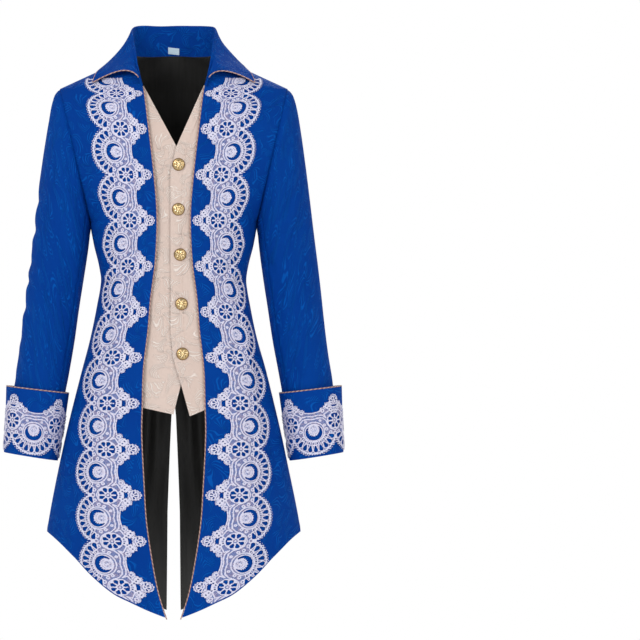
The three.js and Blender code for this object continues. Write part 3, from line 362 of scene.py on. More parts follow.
def wall_object(name, outer, inner, uv, face, lining):
    """Two grids joined round the rim; the first slot is the face and rim, the second the inside."""
    rows, columns = outer.shape[:2]
    far = rows * columns
    number = np.arange(far).reshape(rows, columns)
    border = np.concatenate([number[0], number[1:, -1], number[-1, -2::-1], number[-2:0:-1, 0]])
    ahead = np.roll(border, -1)
    rim = np.stack([ahead, border, border + far, ahead + far], -1)
    face_quads = grid_quads(rows, columns)
    quads = np.concatenate([face_quads, face_quads[:, ::-1] + far, rim])
    points = np.concatenate([outer.reshape(-1, 3), inner.reshape(-1, 3)])
    a, b, c = (points[face_quads[:, k]] for k in (0, 1, 3))
    out = (outer - inner).reshape(-1, 3)[face_quads[:, 0]]
    if np.sum(np.cross(b - a, c - a) * out) < 0:
        quads = quads[:, ::-1]
    kinds = np.concatenate([np.zeros(len(face_quads)), np.ones(len(face_quads)), np.zeros(len(rim))])
    flat = uv.reshape(-1, 2)
    return make_object(name, points, quads, np.concatenate([flat, flat]), [face, lining], kinds)


def surface_area(grid):
    """Sum of the triangles of a grid, in square metres."""
    first = np.cross(grid[:-1, 1:] - grid[:-1, :-1], grid[1:, :-1] - grid[:-1, :-1])
    second = np.cross(grid[1:, :-1] - grid[1:, 1:], grid[:-1, 1:] - grid[1:, 1:])
    doubled = np.linalg.norm(first, axis=-1).sum() + np.linalg.norm(second, axis=-1).sum()
    return 0.5 * MM * MM * float(doubled)


def walk(grid, axis):
    """Distance walked along an axis of a grid of points, from its first line."""
    step = np.linalg.norm(np.diff(grid, axis=axis), axis=-1)
    return np.concatenate([np.zeros_like(np.take(step, [0], axis)), np.cumsum(step, axis)], axis)


cuts = []


def place_piece(piece, node):
    """The body that a piece rides and the solid that it replaces, which is hidden."""
    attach(piece, "root")
    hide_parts(node)
    return piece


def finish_cloth(piece, node, grid, uv):
    """Puts a piece in place of its solid and notes its cut's width, length and area."""
    place_piece(piece, node)
    width = float(np.ptp(uv[..., 0])) * MM
    length = float(np.ptp(uv[..., 1])) * MM
    area = min(surface_area(grid), width * length)
    cuts.append((node, round(width, 3), round(length, 3), round(area, 4)))
    return piece


print("mesh tools ready")

# %% [markdown]
# ## Shared effects
# The blue cloth and the cream cloth are both woven with raised scrolls, so the scroll is one node
# group with its own size. It turns round scattered points and draws curved feather strokes there,
# which is how the woven figure of such damask reads from a distance. Weave is a second group.

# %% Node helpers
def new_group(name, inputs, outputs):
    """An empty node group with float or vector inputs and float outputs."""
    group = bpy.data.node_groups.new(name, "ShaderNodeTree")
    for title, kind, value in inputs:
        socket = group.interface.new_socket(title, in_out="INPUT", socket_type=kind)
        if value is not None:
            socket.default_value = value
    for title, kind in outputs:
        group.interface.new_socket(title, in_out="OUTPUT", socket_type=kind)
    return group, group.nodes.new("NodeGroupInput"), group.nodes.new("NodeGroupOutput")


def set_inputs(node, values):
    """Links what comes from another node, and sets anything else on the socket itself."""
    tree = node.id_data
    for key, value in values.items():
        socket = node.inputs[key]
        if isinstance(value, bpy.types.NodeSocket):
            tree.links.new(value, socket)
        else:
            socket.default_value = value
    return node


def feed(node, **values):
    """The same by title: a keyword has an underscore for each space in its socket's title."""
    return set_inputs(node, {key.replace("_", " "): value for key, value in values.items()})


def math_node(tree, operation, *values):
    node = tree.nodes.new("ShaderNodeMath")
    node.operation = operation
    set_inputs(node, dict(enumerate(values)))
    return node.outputs[0]


def times(tree, a, b):
    return math_node(tree, "MULTIPLY", a, b)


def plus(tree, a, b):
    return math_node(tree, "ADD", a, b)


def times_plus(tree, value, factor, added):
    return math_node(tree, "MULTIPLY_ADD", value, factor, added)


def sine(tree, value):
    return math_node(tree, "SINE", value)


def vector_node(tree, operation, **values):
    node = tree.nodes.new("ShaderNodeVectorMath")
    node.operation = operation
    names = {"a": 0, "b": 1, "scale": 3}
    set_inputs(node, {names[key]: value for key, value in values.items()})
    return node.outputs[0]


def first_two(tree, vector):
    """The X and the Y of a vector."""
    node = tree.nodes.new("ShaderNodeSeparateXYZ")
    set_inputs(node, {0: vector})
    return node.outputs[0], node.outputs[1]


def ramp(tree, value, low, high):
    """Smooth step of a value from low to high."""
    node = tree.nodes.new("ShaderNodeMapRange")
    node.interpolation_type = "SMOOTHSTEP"
    set_inputs(node, {0: value, 1: low, 2: high})
    return node.outputs[0]


def noise(tree, vector, scale, detail=2.0, output=0):
    """Output 0 is an even field and output 1 is three of them, as a vector."""
    node = feed(tree.nodes.new("ShaderNodeTexNoise"), Vector=vector, Scale=scale, Detail=detail)
    return node.outputs[output]


# %% Woven scroll group
group, inside, outside = new_group(
    "woven scroll",
    [("Place", "NodeSocketVector", None), ("Motifs per metre", "NodeSocketFloat", 14.0),
     ("Strokes", "NodeSocketFloat", 9.0)],
    [("Figure", "NodeSocketFloat"), ("Body", "NodeSocketFloat")],
)
place = vector_node(group, "SCALE", a=inside.outputs[0], scale=inside.outputs[1])
shake = vector_node(group, "SUBTRACT", a=noise(group, place, 1.1, 1.0, 1), b=(0.5, 0.5, 0.5))
warped = vector_node(group, "ADD", a=place, b=vector_node(group, "SCALE", a=shake, scale=0.9))
cell = group.nodes.new("ShaderNodeTexVoronoi")
cell.voronoi_dimensions = "2D"
feed(cell, Vector=warped, Scale=1.0, Randomness=0.75)
reach = cell.outputs["Distance"]
spoke = vector_node(group, "SUBTRACT", a=warped, b=cell.outputs["Position"])
spoke_x, spoke_y = first_two(group, spoke)
angle = math_node(group, "ARCTAN2", spoke_y, spoke_x)
swirl = plus(group, times(group, angle, inside.outputs[2]), times(group, reach, 26.0))
feather = ramp(group, sine(group, swirl), -0.1, 0.75)
rings = ramp(group, sine(group, times(group, reach, 78.0)), 0.1, 0.8)
choose = ramp(group, noise(group, place, 0.8, 0.0), 0.47, 0.53)
strokes = set_inputs(group.nodes.new("ShaderNodeMix"), {0: choose, 2: feather, 3: rings})
lobes = plus(group, times(group, angle, 3.0), times(group, reach, 6.0))
leaf = ramp(group, sine(group, lobes), -0.55, 0.1)
not_far = math_node(group, "SUBTRACT", 1.0, ramp(group, reach, 0.5, 0.62))
body = times(group, leaf, times(group, ramp(group, reach, 0.03, 0.09), not_far))
set_inputs(outside, {0: times(group, strokes.outputs[0], body), 1: body})
scroll_group = group

# %% Weave group
group, inside, outside = new_group(
    "fine weave",
    [("Place", "NodeSocketVector", None), ("Threads per metre", "NodeSocketFloat", 1400.0)],
    [("Height", "NodeSocketFloat")],
)
thread = vector_node(group, "SCALE", a=inside.outputs[0], scale=inside.outputs[1])
thread_x, thread_y = first_two(group, thread)
warp = sine(group, times(group, thread_x, 2 * math.pi))
weft = sine(group, times(group, thread_y, 2 * math.pi))
twill = sine(group, times(group, plus(group, thread_x, thread_y), math.pi))
both = plus(group, times(group, warp, weft), twill)
set_inputs(outside, {0: times_plus(group, both, 0.25, 0.5)})
weave_group = group
print("groups", [g.name for g in bpy.data.node_groups])

# %% [markdown]
# ## Cloth materials
# The coat's blue is a deep saturated weave whose scrolls catch the light a little more than the
# ground. The vest's cream brocade has a stronger relief. Both use the same groups with their own
# sizes and colours. The lining is a black satin, smooth and streaked along its warp; the streaks set
# its roughness and bump, and their lighter colour is painted satin sheen.

# %% Woven figure materials
def place_group(tree, group, **values):
    node = tree.nodes.new("ShaderNodeGroup")
    node.node_tree = group
    return feed(node, **values)


def new_material(name, **constants):
    """A Principled material whose even numbers are set on its own sockets."""
    material = bpy.data.materials.new(name)
    material.use_nodes = True
    shader = material.node_tree.nodes["Principled BSDF"]
    feed(shader, **constants)
    return material, material.node_tree, shader


def cloth_place(tree):
    """The piece's own map, in metres of cloth."""
    node = tree.nodes.new("ShaderNodeUVMap")
    node.uv_map = "cloth"
    return node.outputs[0]


def object_place(tree):
    return tree.nodes.new("ShaderNodeTexCoord").outputs["Object"]


def mesh_field(tree, name):
    """A number that the mesh keeps at each of its points."""
    node = tree.nodes.new("ShaderNodeAttribute")
    node.attribute_name = name
    return node.outputs["Fac"]


def blend(tree, share, low, high):
    """A colour between two colours."""
    node = tree.nodes.new("ShaderNodeMix")
    node.data_type = "RGBA"
    set_inputs(node, {0: share, 6: low, 7: high})
    return node.outputs[2]


def bump(tree, height, distance, strength):
    node = feed(tree.nodes.new("ShaderNodeBump"), Height=height, Distance=distance, Strength=strength)
    return node.outputs[0]


def woven_figure(name, ground, raised, motifs, strokes, threads, relief, rough, sheen, sheen_tint, gloss):
    """The scrolls are lighter, smoother and higher than the ground, and the ground puckers."""
    material, tree, shader = new_material(
        name, Sheen_Weight=sheen, Sheen_Roughness=0.45, Sheen_Tint=sheen_tint, Specular_IOR_Level=gloss)
    place = cloth_place(tree)
    scroll = place_group(tree, scroll_group, Place=place, Motifs_per_metre=motifs, Strokes=strokes)
    weave = place_group(tree, weave_group, Place=place, Threads_per_metre=threads)
    figure, body = scroll.outputs[0], scroll.outputs[1]
    share = times_plus(tree, noise(tree, place, 9.0, 3.0), 0.35, times(tree, figure, 0.62))
    pucker = times_plus(tree, noise(tree, place, 48.0, 2.0), 0.9, times_plus(tree, body, 0.5, figure))
    height = times_plus(tree, weave.outputs[0], 0.22, pucker)
    feed(shader, Base_Color=blend(tree, share, ground, raised),
         Roughness=times_plus(tree, figure, -0.16, rough), Normal=bump(tree, height, relief, 0.75))
    return material


materials["blue_jacquard"] = woven_figure(
    "blue jacquard", ground=(0.0, 0.035, 0.262, 1), raised=(0.0, 0.105, 0.49, 1), motifs=23.0,
    strokes=17.0, threads=1400.0, relief=0.0011, rough=0.72, sheen=0.03, sheen_tint=(0.02, 0.3, 1.0, 1),
    gloss=0.05)
materials["cream_brocade"] = woven_figure(
    "cream brocade", ground=(0.72, 0.555, 0.48, 1), raised=(1.0, 0.91, 0.84, 1), motifs=23.0,
    strokes=19.0, threads=1300.0, relief=0.0017, rough=0.58, sheen=0.1, sheen_tint=(1.0, 0.9, 0.85, 1),
    gloss=0.22)

# %% Lining satin
material, tree, shader = new_material("black satin", Anisotropic=0.5, Sheen_Weight=0.1)
place = cloth_place(tree)
stretched = feed(tree.nodes.new("ShaderNodeMapping"), Vector=place, Scale=(220.0, 9.0, 1.0))
warp_streaks_and_sheen = noise(tree, stretched.outputs[0], 1.0, 3.0)
weave = place_group(tree, weave_group, Place=place, Threads_per_metre=2200.0)
woven = times_plus(tree, weave.outputs[0], 0.4, warp_streaks_and_sheen)
# The lighter streaks in the base colour are painted satin sheen; the same streaks also set roughness and
# bump.
feed(shader, Base_Color=blend(tree, warp_streaks_and_sheen, (0.004, 0.004, 0.004, 1), (0.030, 0.029, 0.027, 1)),
     Roughness=times_plus(tree, warp_streaks_and_sheen, 0.2, 0.3), Normal=bump(tree, woven, 0.0002, 0.5))
materials["black_lining"] = material

# %% [markdown]
# ## Trim materials
# The lace thread is a shiny lavender white, and its open net between the cords is thinner than a
# thread of geometry may be, so the net is cut by the material's alpha from a field on the mesh.
# Piping is a satin cord with a twist, the buttons are cast gold, and the size tab is bare tape.

# %% Lace thread
NET = 3100.0
material, tree, shader = new_material("lace thread", Sheen_Weight=0.3, Sheen_Tint=(1.0, 0.9, 1.0, 1))
place = cloth_place(tree)
cord_height = mesh_field(tree, "cord")
tint = ramp(tree, noise(tree, place, 160.0, 1.0), 0.4, 0.65)
plain = blend(tree, tint, (0.40, 0.47, 0.80, 1), (0.72, 0.62, 0.80, 1))
net_x, net_y = first_two(tree, place)
one = sine(tree, times(tree, plus(tree, net_x, net_y), NET))
two = sine(tree, times(tree, math_node(tree, "SUBTRACT", net_x, net_y), NET))
net = ramp(tree, math_node(tree, "MAXIMUM", one, two), 0.62, 0.86)
fibre = noise(tree, place, 1800.0, 2.0)
feed(shader, Base_Color=blend(tree, ramp(tree, cord_height, 0.0, 0.6), plain, (0.74, 0.73, 0.90, 1)),
     Alpha=math_node(tree, "MAXIMUM", net, ramp(tree, cord_height, 0.12, 0.3)),
     Roughness=times_plus(tree, fibre, 0.3, 0.45), Normal=bump(tree, fibre, 0.0003, 0.6))
materials["lace"] = material

# %% Piping cord
material, tree, shader = new_material("rose piping", Sheen_Weight=0.25)
cord_length, cord_girth = first_two(tree, cloth_place(tree))
twist = plus(tree, times(tree, cord_length, 770.0), times(tree, cord_girth, 1600.0))
strand_and_groove_shade = ramp(tree, sine(tree, twist), -0.9, 0.5)
# The dark colour in the grooves between the twisted strands is painted shade; the same mask also sets
# roughness and bump.
feed(shader, Base_Color=blend(tree, strand_and_groove_shade, (0.27, 0.12, 0.11, 1), (0.60, 0.38, 0.31, 1)),
     Roughness=times_plus(tree, strand_and_groove_shade, -0.15, 0.5), Normal=bump(tree, strand_and_groove_shade, 0.0005, 0.7))
materials["piping"] = material

# %% Button gold
material, tree, shader = new_material("button gold", Metallic=1.0)
wear = ramp(tree, noise(tree, object_place(tree), 260.0, 3.0), 0.35, 0.7)
relief = ramp(tree, mesh_field(tree, "raised"), 0.0, 0.7)
gilt = blend(tree, wear, (0.83, 0.60, 0.28, 1), (0.96, 0.80, 0.50, 1))
feed(shader, Base_Color=blend(tree, relief, (0.30, 0.17, 0.06, 1), gilt),
     Roughness=times_plus(tree, wear, -0.12, 0.3))
materials["gold_button"] = material

# %% Size tab tape
material, tree, shader = new_material("tab tape", Sheen_Weight=0.2)
weave = place_group(tree, weave_group, Place=cloth_place(tree), Threads_per_metre=1100.0)
woven = weave.outputs[0]
# Darker where the weave is low: painted shade between the threads; the same weave also sets roughness and
# bump.
feed(shader, Base_Color=blend(tree, woven, (0.52, 0.70, 0.84, 1), (0.70, 0.85, 0.95, 1)),
     Roughness=times_plus(tree, woven, -0.1, 0.6), Normal=bump(tree, woven, 0.0002, 0.6))
materials["label_cloth"] = material
print("materials", list(materials))

# %% [markdown]
# ## Cutting the body
# A body panel lies between two seams. Above the hip its rows are level, and below it they slant
# down to the fishtail hem. Where two pieces are sewn, the cloth is drawn in along the stitches,
# which makes each seam a fine groove with a soft roll on both sides.

# %% Body panels
SKIRT_TOP = -700
SEAM_GAP = 0.3
SKIRT_ROWS = 56


def row_levels(top):
    """Heights of the level rows: close together where the armhole's ellipse turns."""
    upper = np.linspace(top, SHOULDER_Z, 14)[:-1] if top > SHOULDER_Z else np.zeros(0)
    arm = ARM_Z + ARM_TALL * np.cos(np.linspace(0, math.pi, 61))
    arm = arm[arm <= top]
    return np.concatenate([upper, arm, np.linspace(UNDERARM, SKIRT_TOP, 91)[1:]])


def panel_places(seams, top, columns, inset=0.0):
    """Turn and height of each grid point between two seams, given as functions of height."""
    share = np.linspace(0, 1, columns)
    levels = row_levels(top)
    turns = [mix(seams[0](levels)[:, None], seams[1](levels)[:, None], share)]
    heights = [np.repeat(levels[:, None], columns, 1)]
    drop = np.linspace(0, 1, SKIRT_ROWS + 1)[1:]
    ends = []
    for seam in seams:
        turn = np.full(len(drop), float(seam(np.array([SKIRT_TOP]))[0]))
        for _ in range(6):
            turn = seam(mix(SKIRT_TOP, hem_height(turn) + inset, drop))
        ends.append(turn)
    skirt = mix(ends[0][:, None], ends[1][:, None], share)
    turns.append(skirt)
    heights.append(mix(SKIRT_TOP, hem_height(skirt) + inset, drop[:, None]))
    return np.concatenate(turns), np.concatenate(heights)


def seam_groove(away, deep, roll):
    """Stitches draw the cloth in, and it rolls up a little beside them."""
    return -deep * np.exp(-(away / 2.2) ** 2) + roll * np.exp(-((away - 7) / 5) ** 2)


def open_seams(outer, gap):
    """Draws both sides of a panel in along its rows, each by half the gap."""
    step = unit(np.gradient(outer, axis=1))
    outer[:, 0] += step[:, 0] * gap / 2
    outer[:, -1] -= step[:, -1] * gap / 2


def body_cloth(node, side, seams, top, columns, sewn):
    """A body panel as a wall; sewn says which of its two sides is drawn in by stitches."""
    turn, z = panel_places(seams, top, columns)
    plain = body_point(side, turn, z)
    across = walk(plain, 1)
    width = across[:, -1:]
    pinch = np.zeros_like(across)
    for is_sewn, distance in zip(sewn, (across, width - across)):
        if is_sewn:
            pinch += seam_groove(distance, 1.3, 0.5)
    turned_hem = 0.5 * np.exp(-((z - hem_height(turn) - 8) / 7) ** 2)
    outer = cloth_point(side, turn, z, pinch + turned_hem)
    open_seams(outer, SEAM_GAP)
    inner = outer - body_normal(side, turn, z) * CLOTH_WALL
    middle = slice(columns // 2, columns // 2 + 1)
    down = -walk(plain, 0)[:, middle] + 0 * across
    uv = np.stack([side * (across - across[:, middle]), down], -1)
    piece = wall_object(f"{node}_cloth", outer, inner, uv, "blue_jacquard", "black_lining")
    return finish_cloth(piece, node, outer, uv)


for word, side in SIDES:
    body_cloth(f"front_{word}", side, (edge_turn, front_side_turn), -1, 72, (False, True))
    body_cloth(f"back_{word}", side, (vent_turn, back_seam_turn), 0.5, 60, (True, True))
    seams = (back_seam_turn, back_side_turn)
    body_cloth(f"side_back_{word}", side, seams, PRINCESS_TOP, 36, (True, True))
print("body panels", [cut[0] for cut in cuts])

# %% [markdown]
# ## Skirt lining
# Behind the blue hangs a loose black satin lining. It is cut fuller than the cloth, so it falls
# in its own long folds, which show between the fronts.

# %% Lining
LINING_INSET, LINING_WALL = 4.4, 0.8


def lining_cloth(side, word):
    """The back's round set in behind the cloth's wall, with folds that grow downwards."""
    turn, z = panel_places((vent_turn, back_seam_turn), 1.8, 64, inset=8.0)
    fold = 1.6 * np.sin(turn * 26 + z / 140) * smooth((-120 - z) / 300)
    fold = fold + 0.8 * np.sin(turn * 47 + 1 - z / 90) * smooth(-z / 400)
    plain = body_point(side, turn, z)
    normal = body_normal(side, turn, z)
    relief = body_relief(side, turn, z)
    outer = plain + normal * (relief - LINING_INSET + fold)[..., None]
    inner = outer - normal * LINING_WALL
    across = walk(plain, 1)
    uv = np.stack([side * across, -walk(plain, 0)[:, 32:33] + 0 * across], -1)
    node = f"lining_back_{word}"
    piece = wall_object(f"{node}_cloth", outer, inner, uv, "black_lining", "black_lining")
    return finish_cloth(piece, node, outer, uv)


for word, side in SIDES:
    lining_cloth(side, word)
print("lining hung")

# %% [markdown]
# ## Sleeves
# A tailored sleeve is cut in two: a wide top half and a narrow under half. Both are rings that
# tilt as they rise, because the armhole is higher outside than under the arm.

# %% Sleeve surface
SLEEVE_OUTER = [(-62, 205), (-77, 215), (-92, 220.5), (-126, 227), (-207, 238.5), (-308, 251),
                (-427, 264.6), (-538, 279), (-589, 286.5), (-712, 301.5)]
SLEEVE_INNER = [(-300, 150), (-337, 152.5), (-394, 160), (-452, 168.7), (-509, 177.6), (-567, 188),
                (-607, 194.4), (-725, 210)]
RING_OUTER = [(0, -62), (1, -77), (2, -100), (3, -135), (4, -185), (5, -240), (6, -300), (7, -365),
              (8, -440), (9, -520), (10, -600), (11, -706)]
RING_INNER = [(0, -300), (1, -302), (2, -305), (3, -311), (4, -321), (5, -339), (6, -366), (7, -405),
              (8, -465), (9, -537), (10, -613), (11, -721)]
RING_DEEP = [(0, 60), (1, 61.5), (2, 62.5), (3, 63), (4, 62), (5, 60), (6, 57.5), (7, 54.5), (8, 51.5),
             (9, 49), (10, 47.5), (11, 46)]
ARM_STEP = math.radians(18)
SLEEVE_GAP = 0.7


def sleeve_point(side, ring, arm):
    """An ellipse between an outer and an inner point of the arm; arm 0 is outside, pi/2 in front."""
    outer_z, inner_z = read(RING_OUTER, ring), read(RING_INNER, ring)
    out = 0.5 + 0.5 * np.cos(arm)
    x = mix(read(SLEEVE_INNER, inner_z), read(SLEEVE_OUTER, outer_z), out)
    return np.stack([side * x, -read(RING_DEEP, ring) * np.sin(arm), mix(inner_z, outer_z, out)], -1)


def sleeve_normal(side, ring, arm):
    across = sleeve_point(side, ring, arm + 0.01) - sleeve_point(side, ring, arm - 0.01)
    along = sleeve_point(side, ring + 0.05, arm) - sleeve_point(side, np.maximum(ring - 0.05, 0), arm)
    return unit(side * np.cross(across, along))


def sleeve_cloth(cut, word, side, first, last, columns):
    """One cut of a sleeve, with the creases of its own arm and a soft roll at each seam."""
    arm = np.linspace(first, last, columns)[None] * ARM_STEP
    ring = np.concatenate([np.linspace(0, 1, 16)[:-1], np.linspace(1, 11, 150)])[:, None]
    ring, arm = np.broadcast_arrays(ring, arm)
    plain = sleeve_point(side, ring, arm)
    across = walk(plain, 1)
    away = np.minimum(across, across[:, -1:] - across)
    pinch = seam_groove(away, 1.2, 0.4)
    down = walk(plain, 0)
    head = -1.4 * np.exp(-(down / 3) ** 2) + 1.2 * np.exp(-((down - 12) / 9) ** 2)
    sway = arm if side > 0 else 1.4 - 0.92 * arm
    wrapped = (sway + math.pi) % (2 * math.pi) - math.pi
    middle_z = 0.5 * (read(RING_OUTER, ring) + read(RING_INNER, ring)) + (0 if side > 0 else 14)
    height = middle_z + 0.3 * (plain[..., 2] - middle_z)
    folds = crease_field(ARM_CREASES, wrapped * ARM_ACROSS, height, 2.0 * side) * smooth(down / 60)
    uneven = 0.5 * np.sin(arm * 3 + down / 47 + side) + 0.4 * np.sin(arm * 5 - down / 33)
    uneven = mix(0.6, uneven, smooth(down / 30))
    normal = sleeve_normal(side, ring, arm)
    under_cuff = smooth((ring - 9.6) / 0.5)
    lift = (folds + uneven) * (1 - under_cuff) + pinch + head - 0.6 * under_cuff
    outer = plain + normal * lift[..., None]
    open_seams(outer, SLEEVE_GAP)
    inner = outer - normal * CLOTH_WALL
    away = unit(np.array([side * ARM_TALL, 0, -ARM_LEAN]))
    for depth, sink in ((2.5, 2.6), (6, 3.4)):
        outer = np.concatenate([plain[:1] - away * depth - normal[:1] * sink, outer])
        inner = np.concatenate([plain[:1] - away * depth - normal[:1] * (sink + 1.2), inner])
    down = np.concatenate([0 * down[:1] - 6, 0 * down[:1] - 2.5, down])
    across = np.concatenate([across[:1], across[:1], across])
    uv = np.stack([side * (across - 0.5 * across[:, -1:]), -down], -1)
    node = f"{cut}_sleeve_{word}"
    piece = wall_object(f"{node}_cloth", outer, inner, uv, "blue_jacquard", "black_lining")
    return finish_cloth(piece, node, outer, uv)


for word, side in SIDES:
    sleeve_cloth("top", word, side, -4, 8, 84)
    sleeve_cloth("under", word, side, 8, 16, 56)
print("sleeves", [cut for cut in cuts if "sleeve" in cut[0]])

# %% [markdown]
# ## Cuffs
# Each sleeve ends in a deep cuff, turned back over it and slit behind, with round corners. The
# corners come from lowering the upper edge near the slit along a quarter circle.

# %% Cuff surface
CUFF_LOW_OUT, CUFF_LOW_IN = (304.1, -714.6), (207.7, -730)
CUFF_TOP_OUT, CUFF_TOP_IN = (297.5, -596.7), (188.5, -609.7)
CUFF_LOW_DEEP, CUFF_TOP_DEEP, CUFF_TALL = 48.6, 53, 119
SLIT, SLIT_HALF, CORNER = -math.pi / 2, 3.2, 14
CUFF_WALL = 1.7
CUFF_RADIUS = (CUFF_LOW_DEEP + CUFF_TOP_DEEP) / 2


def cuff_point(side, up, arm):
    """Like the sleeve's rings, widening from its lower edge (up 0) to its upper edge (up 1)."""
    out = 0.5 + 0.5 * np.cos(arm)
    low = [mix(a, b, out) for a, b in zip(CUFF_LOW_IN, CUFF_LOW_OUT)]
    top = [mix(a, b, out) for a, b in zip(CUFF_TOP_IN, CUFF_TOP_OUT)]
    deep = mix(CUFF_LOW_DEEP, CUFF_TOP_DEEP, up)
    return np.stack([side * mix(low[0], top[0], up), -deep * np.sin(arm), mix(low[1], top[1], up)], -1)


def cuff_normal(side, up, arm):
    across = cuff_point(side, up, arm + 0.01) - cuff_point(side, up, arm - 0.01)
    fall = cuff_point(side, up - 0.05, arm) - cuff_point(side, up + 0.05, arm)
    return unit(side * np.cross(across, fall))


def cuff_roll(up):
    """How far the turned lower edge is rounded off."""
    return 0.9 * np.exp(-(up * CUFF_TALL / 5) ** 2)


def cuff_relief(side, up, arm):
    """Stands off outwards, with a slight waviness that dies out at the turned lower edge."""
    wave = (0.9 * np.sin(3 * arm + side) + 0.6 * np.sin(5 * arm - 4 * up)) * smooth(2 * up) * 0.8
    return wave + 4.2 * smooth(np.cos(arm)) * (0.55 + 0.45 * up)


def cuff_top(arm):
    """Upper edge as a share of the height, lowered by a quarter circle beside the slit."""
    away = np.minimum(arm - SLIT, SLIT + 2 * math.pi - arm) * CUFF_RADIUS
    inside = np.clip(CORNER - (away - SLIT_HALF), 0, CORNER)
    return 1 - (CORNER - np.sqrt(CORNER ** 2 - inside ** 2)) / CUFF_TALL


def cuff_arms():
    """Arm turns round the cuff, close together at the two corners."""
    near = SLIT + (SLIT_HALF + CORNER * (1 - np.cos(np.linspace(0, math.pi / 2, 13)))) / CUFF_RADIUS
    middle = np.linspace(near[-1], 2 * SLIT + 2 * math.pi - near[-1], 121)[1:-1]
    return np.concatenate([near, middle, 2 * SLIT + 2 * math.pi - near[::-1]])


def cuff_cloth(side, word):
    arm = cuff_arms()[None]
    up = np.linspace(0, 1, 49)[:, None] * cuff_top(arm)
    up, arm = np.broadcast_arrays(up, arm)
    plain = cuff_point(side, up, arm)
    normal = cuff_normal(side, up, arm)
    outer = plain + normal * (cuff_relief(side, up, arm) - cuff_roll(up))[..., None]
    inner = outer - normal * CUFF_WALL
    uv = np.stack([side * arm * CUFF_RADIUS, up * CUFF_TALL], -1)
    node = f"cuff_{word}"
    piece = wall_object(f"{node}_cloth", outer, inner, uv, "blue_jacquard", "blue_jacquard")
    finish_cloth(piece, node, outer, uv)
    return outer, inner


cuff_grids = {word: cuff_cloth(side, word) for word, side in SIDES}
print("cuffs", [cut for cut in cuts if cut[0].startswith("cuff")])

# %% [markdown]
# ## Collar
# The collar stands up behind the neck, folds over and falls wide on the shoulders. It is drawn as
# sections at a few stations round the neck: seam, fold, roll and outer edge. One smooth curve
# joins like points of all sections, so it has no facets.

# %% Collar surface
# columns: turn in degrees (0 for the neck edge of the front), seam height, fold, roll, edge
COLLAR = [
    (180, 0.5, (0, 68, 56), (0, 73.5, 34), (0, 75, 4)),
    (160, 0.5, (26, 66, 56), (29, 71, 34), (31, 73, 3)),
    (140, 0.5, (50, 57, 56), (57, 61, 34), (63, 65, -1)),
    (120, 0.5, (66, 42, 54), (77, 46, 30), (89, 50, -7)),
    (100, 0.5, (74, 20, 50), (88, 22, 23), (110, 25, -13)),
    (0, -1, (76, -2, 41), (92, -3, 16), (123, -3, -17)),
    (0, -6, (72, -24, 24), (89, -26, 2), (130, -24, -25)),
    (0, -18, (69.5, -44, 4), (88, -47, -11), (137, -40, -33)),
    (0, -34, (65.5, -64, -20), (86, -66, -22), (141.5, -51, -42)),
    (0, -48, (60, -77, -42), (84.5, -75, -28), (143.5, -57, -48)),
    (0, -59, (56, -83.5, -57), (84, -79, -31), (144, -60, -51)),
]
COLLAR_WALL = 1.5
COLLAR_STEPS, COLLAR_DEPTHS = 161, 66
COLLAR_MIDDLE = COLLAR_STEPS // 2


def spline(rows, at):
    """Catmull-Rom through rows of points at whole numbers."""
    rows = np.asarray(rows, float)
    at = np.clip(at, 0, len(rows) - 1)
    i = np.clip(np.floor(at).astype(int), 0, len(rows) - 2)
    t = (at - i).reshape((-1,) + (1,) * (rows.ndim - 1))
    p0, p1 = rows[np.maximum(i - 1, 0)], rows[i]
    p2, p3 = rows[i + 1], rows[np.minimum(i + 2, len(rows) - 1)]
    bend = (2 * p0 - 5 * p1 + 4 * p2 - p3) * t ** 2
    return 0.5 * (2 * p1 + (p2 - p0) * t + bend + (3 * p1 - p0 - 3 * p2 + p3) * t ** 3)


def collar_section(turn, seam_z, fold, roll, edge):
    """Points from the seam over the fold to the outer edge, all on one side."""
    if turn > 0:
        seam = body_point(1, math.radians(turn), float(seam_z)) - [0, 0, 0.6]
    else:
        angle = edge_turn(np.array(float(seam_z)))
        seam = body_point(1, angle, float(seam_z))
        seam = seam + 0.72 * unit(body_point(1, angle - 0.02, float(seam_z)) - seam) + [0, 0, 0.78]
    fold, roll, edge = (np.array(p, float) for p in (fold, roll, edge))
    out = unit((roll - seam) * [1, 1, 0])
    grown = min(np.linalg.norm(fold - seam) / 14, 1)
    inner = fold - out * 2.3 * grown - [0, 0, 2.6 * grown]
    outer = fold + out * 2.3 * grown - [0, 0, 2.6 * grown]
    pull = 2 * roll - 0.5 * (outer + edge)
    t = np.linspace(0, 1, 9)[1:, None]
    fall = (1 - t) ** 2 * outer + 2 * t * (1 - t) * pull + t * t * edge
    return np.concatenate([[seam, mix(seam, inner, 0.33), mix(seam, inner, 0.66), inner, fold, outer], fall])


def collar_grid():
    half = np.array([collar_section(*row) for row in COLLAR])
    whole = np.concatenate([half[:0:-1] * [-1, 1, 1], half])
    along = spline(whole, np.linspace(0, len(whole) - 1, COLLAR_STEPS))
    depths = np.linspace(0, along.shape[1] - 1, COLLAR_DEPTHS)
    return spline(along.transpose(1, 0, 2), depths).transpose(1, 0, 2)


def grid_normal(grid):
    return unit(np.cross(np.gradient(grid, axis=0), np.gradient(grid, axis=1)))


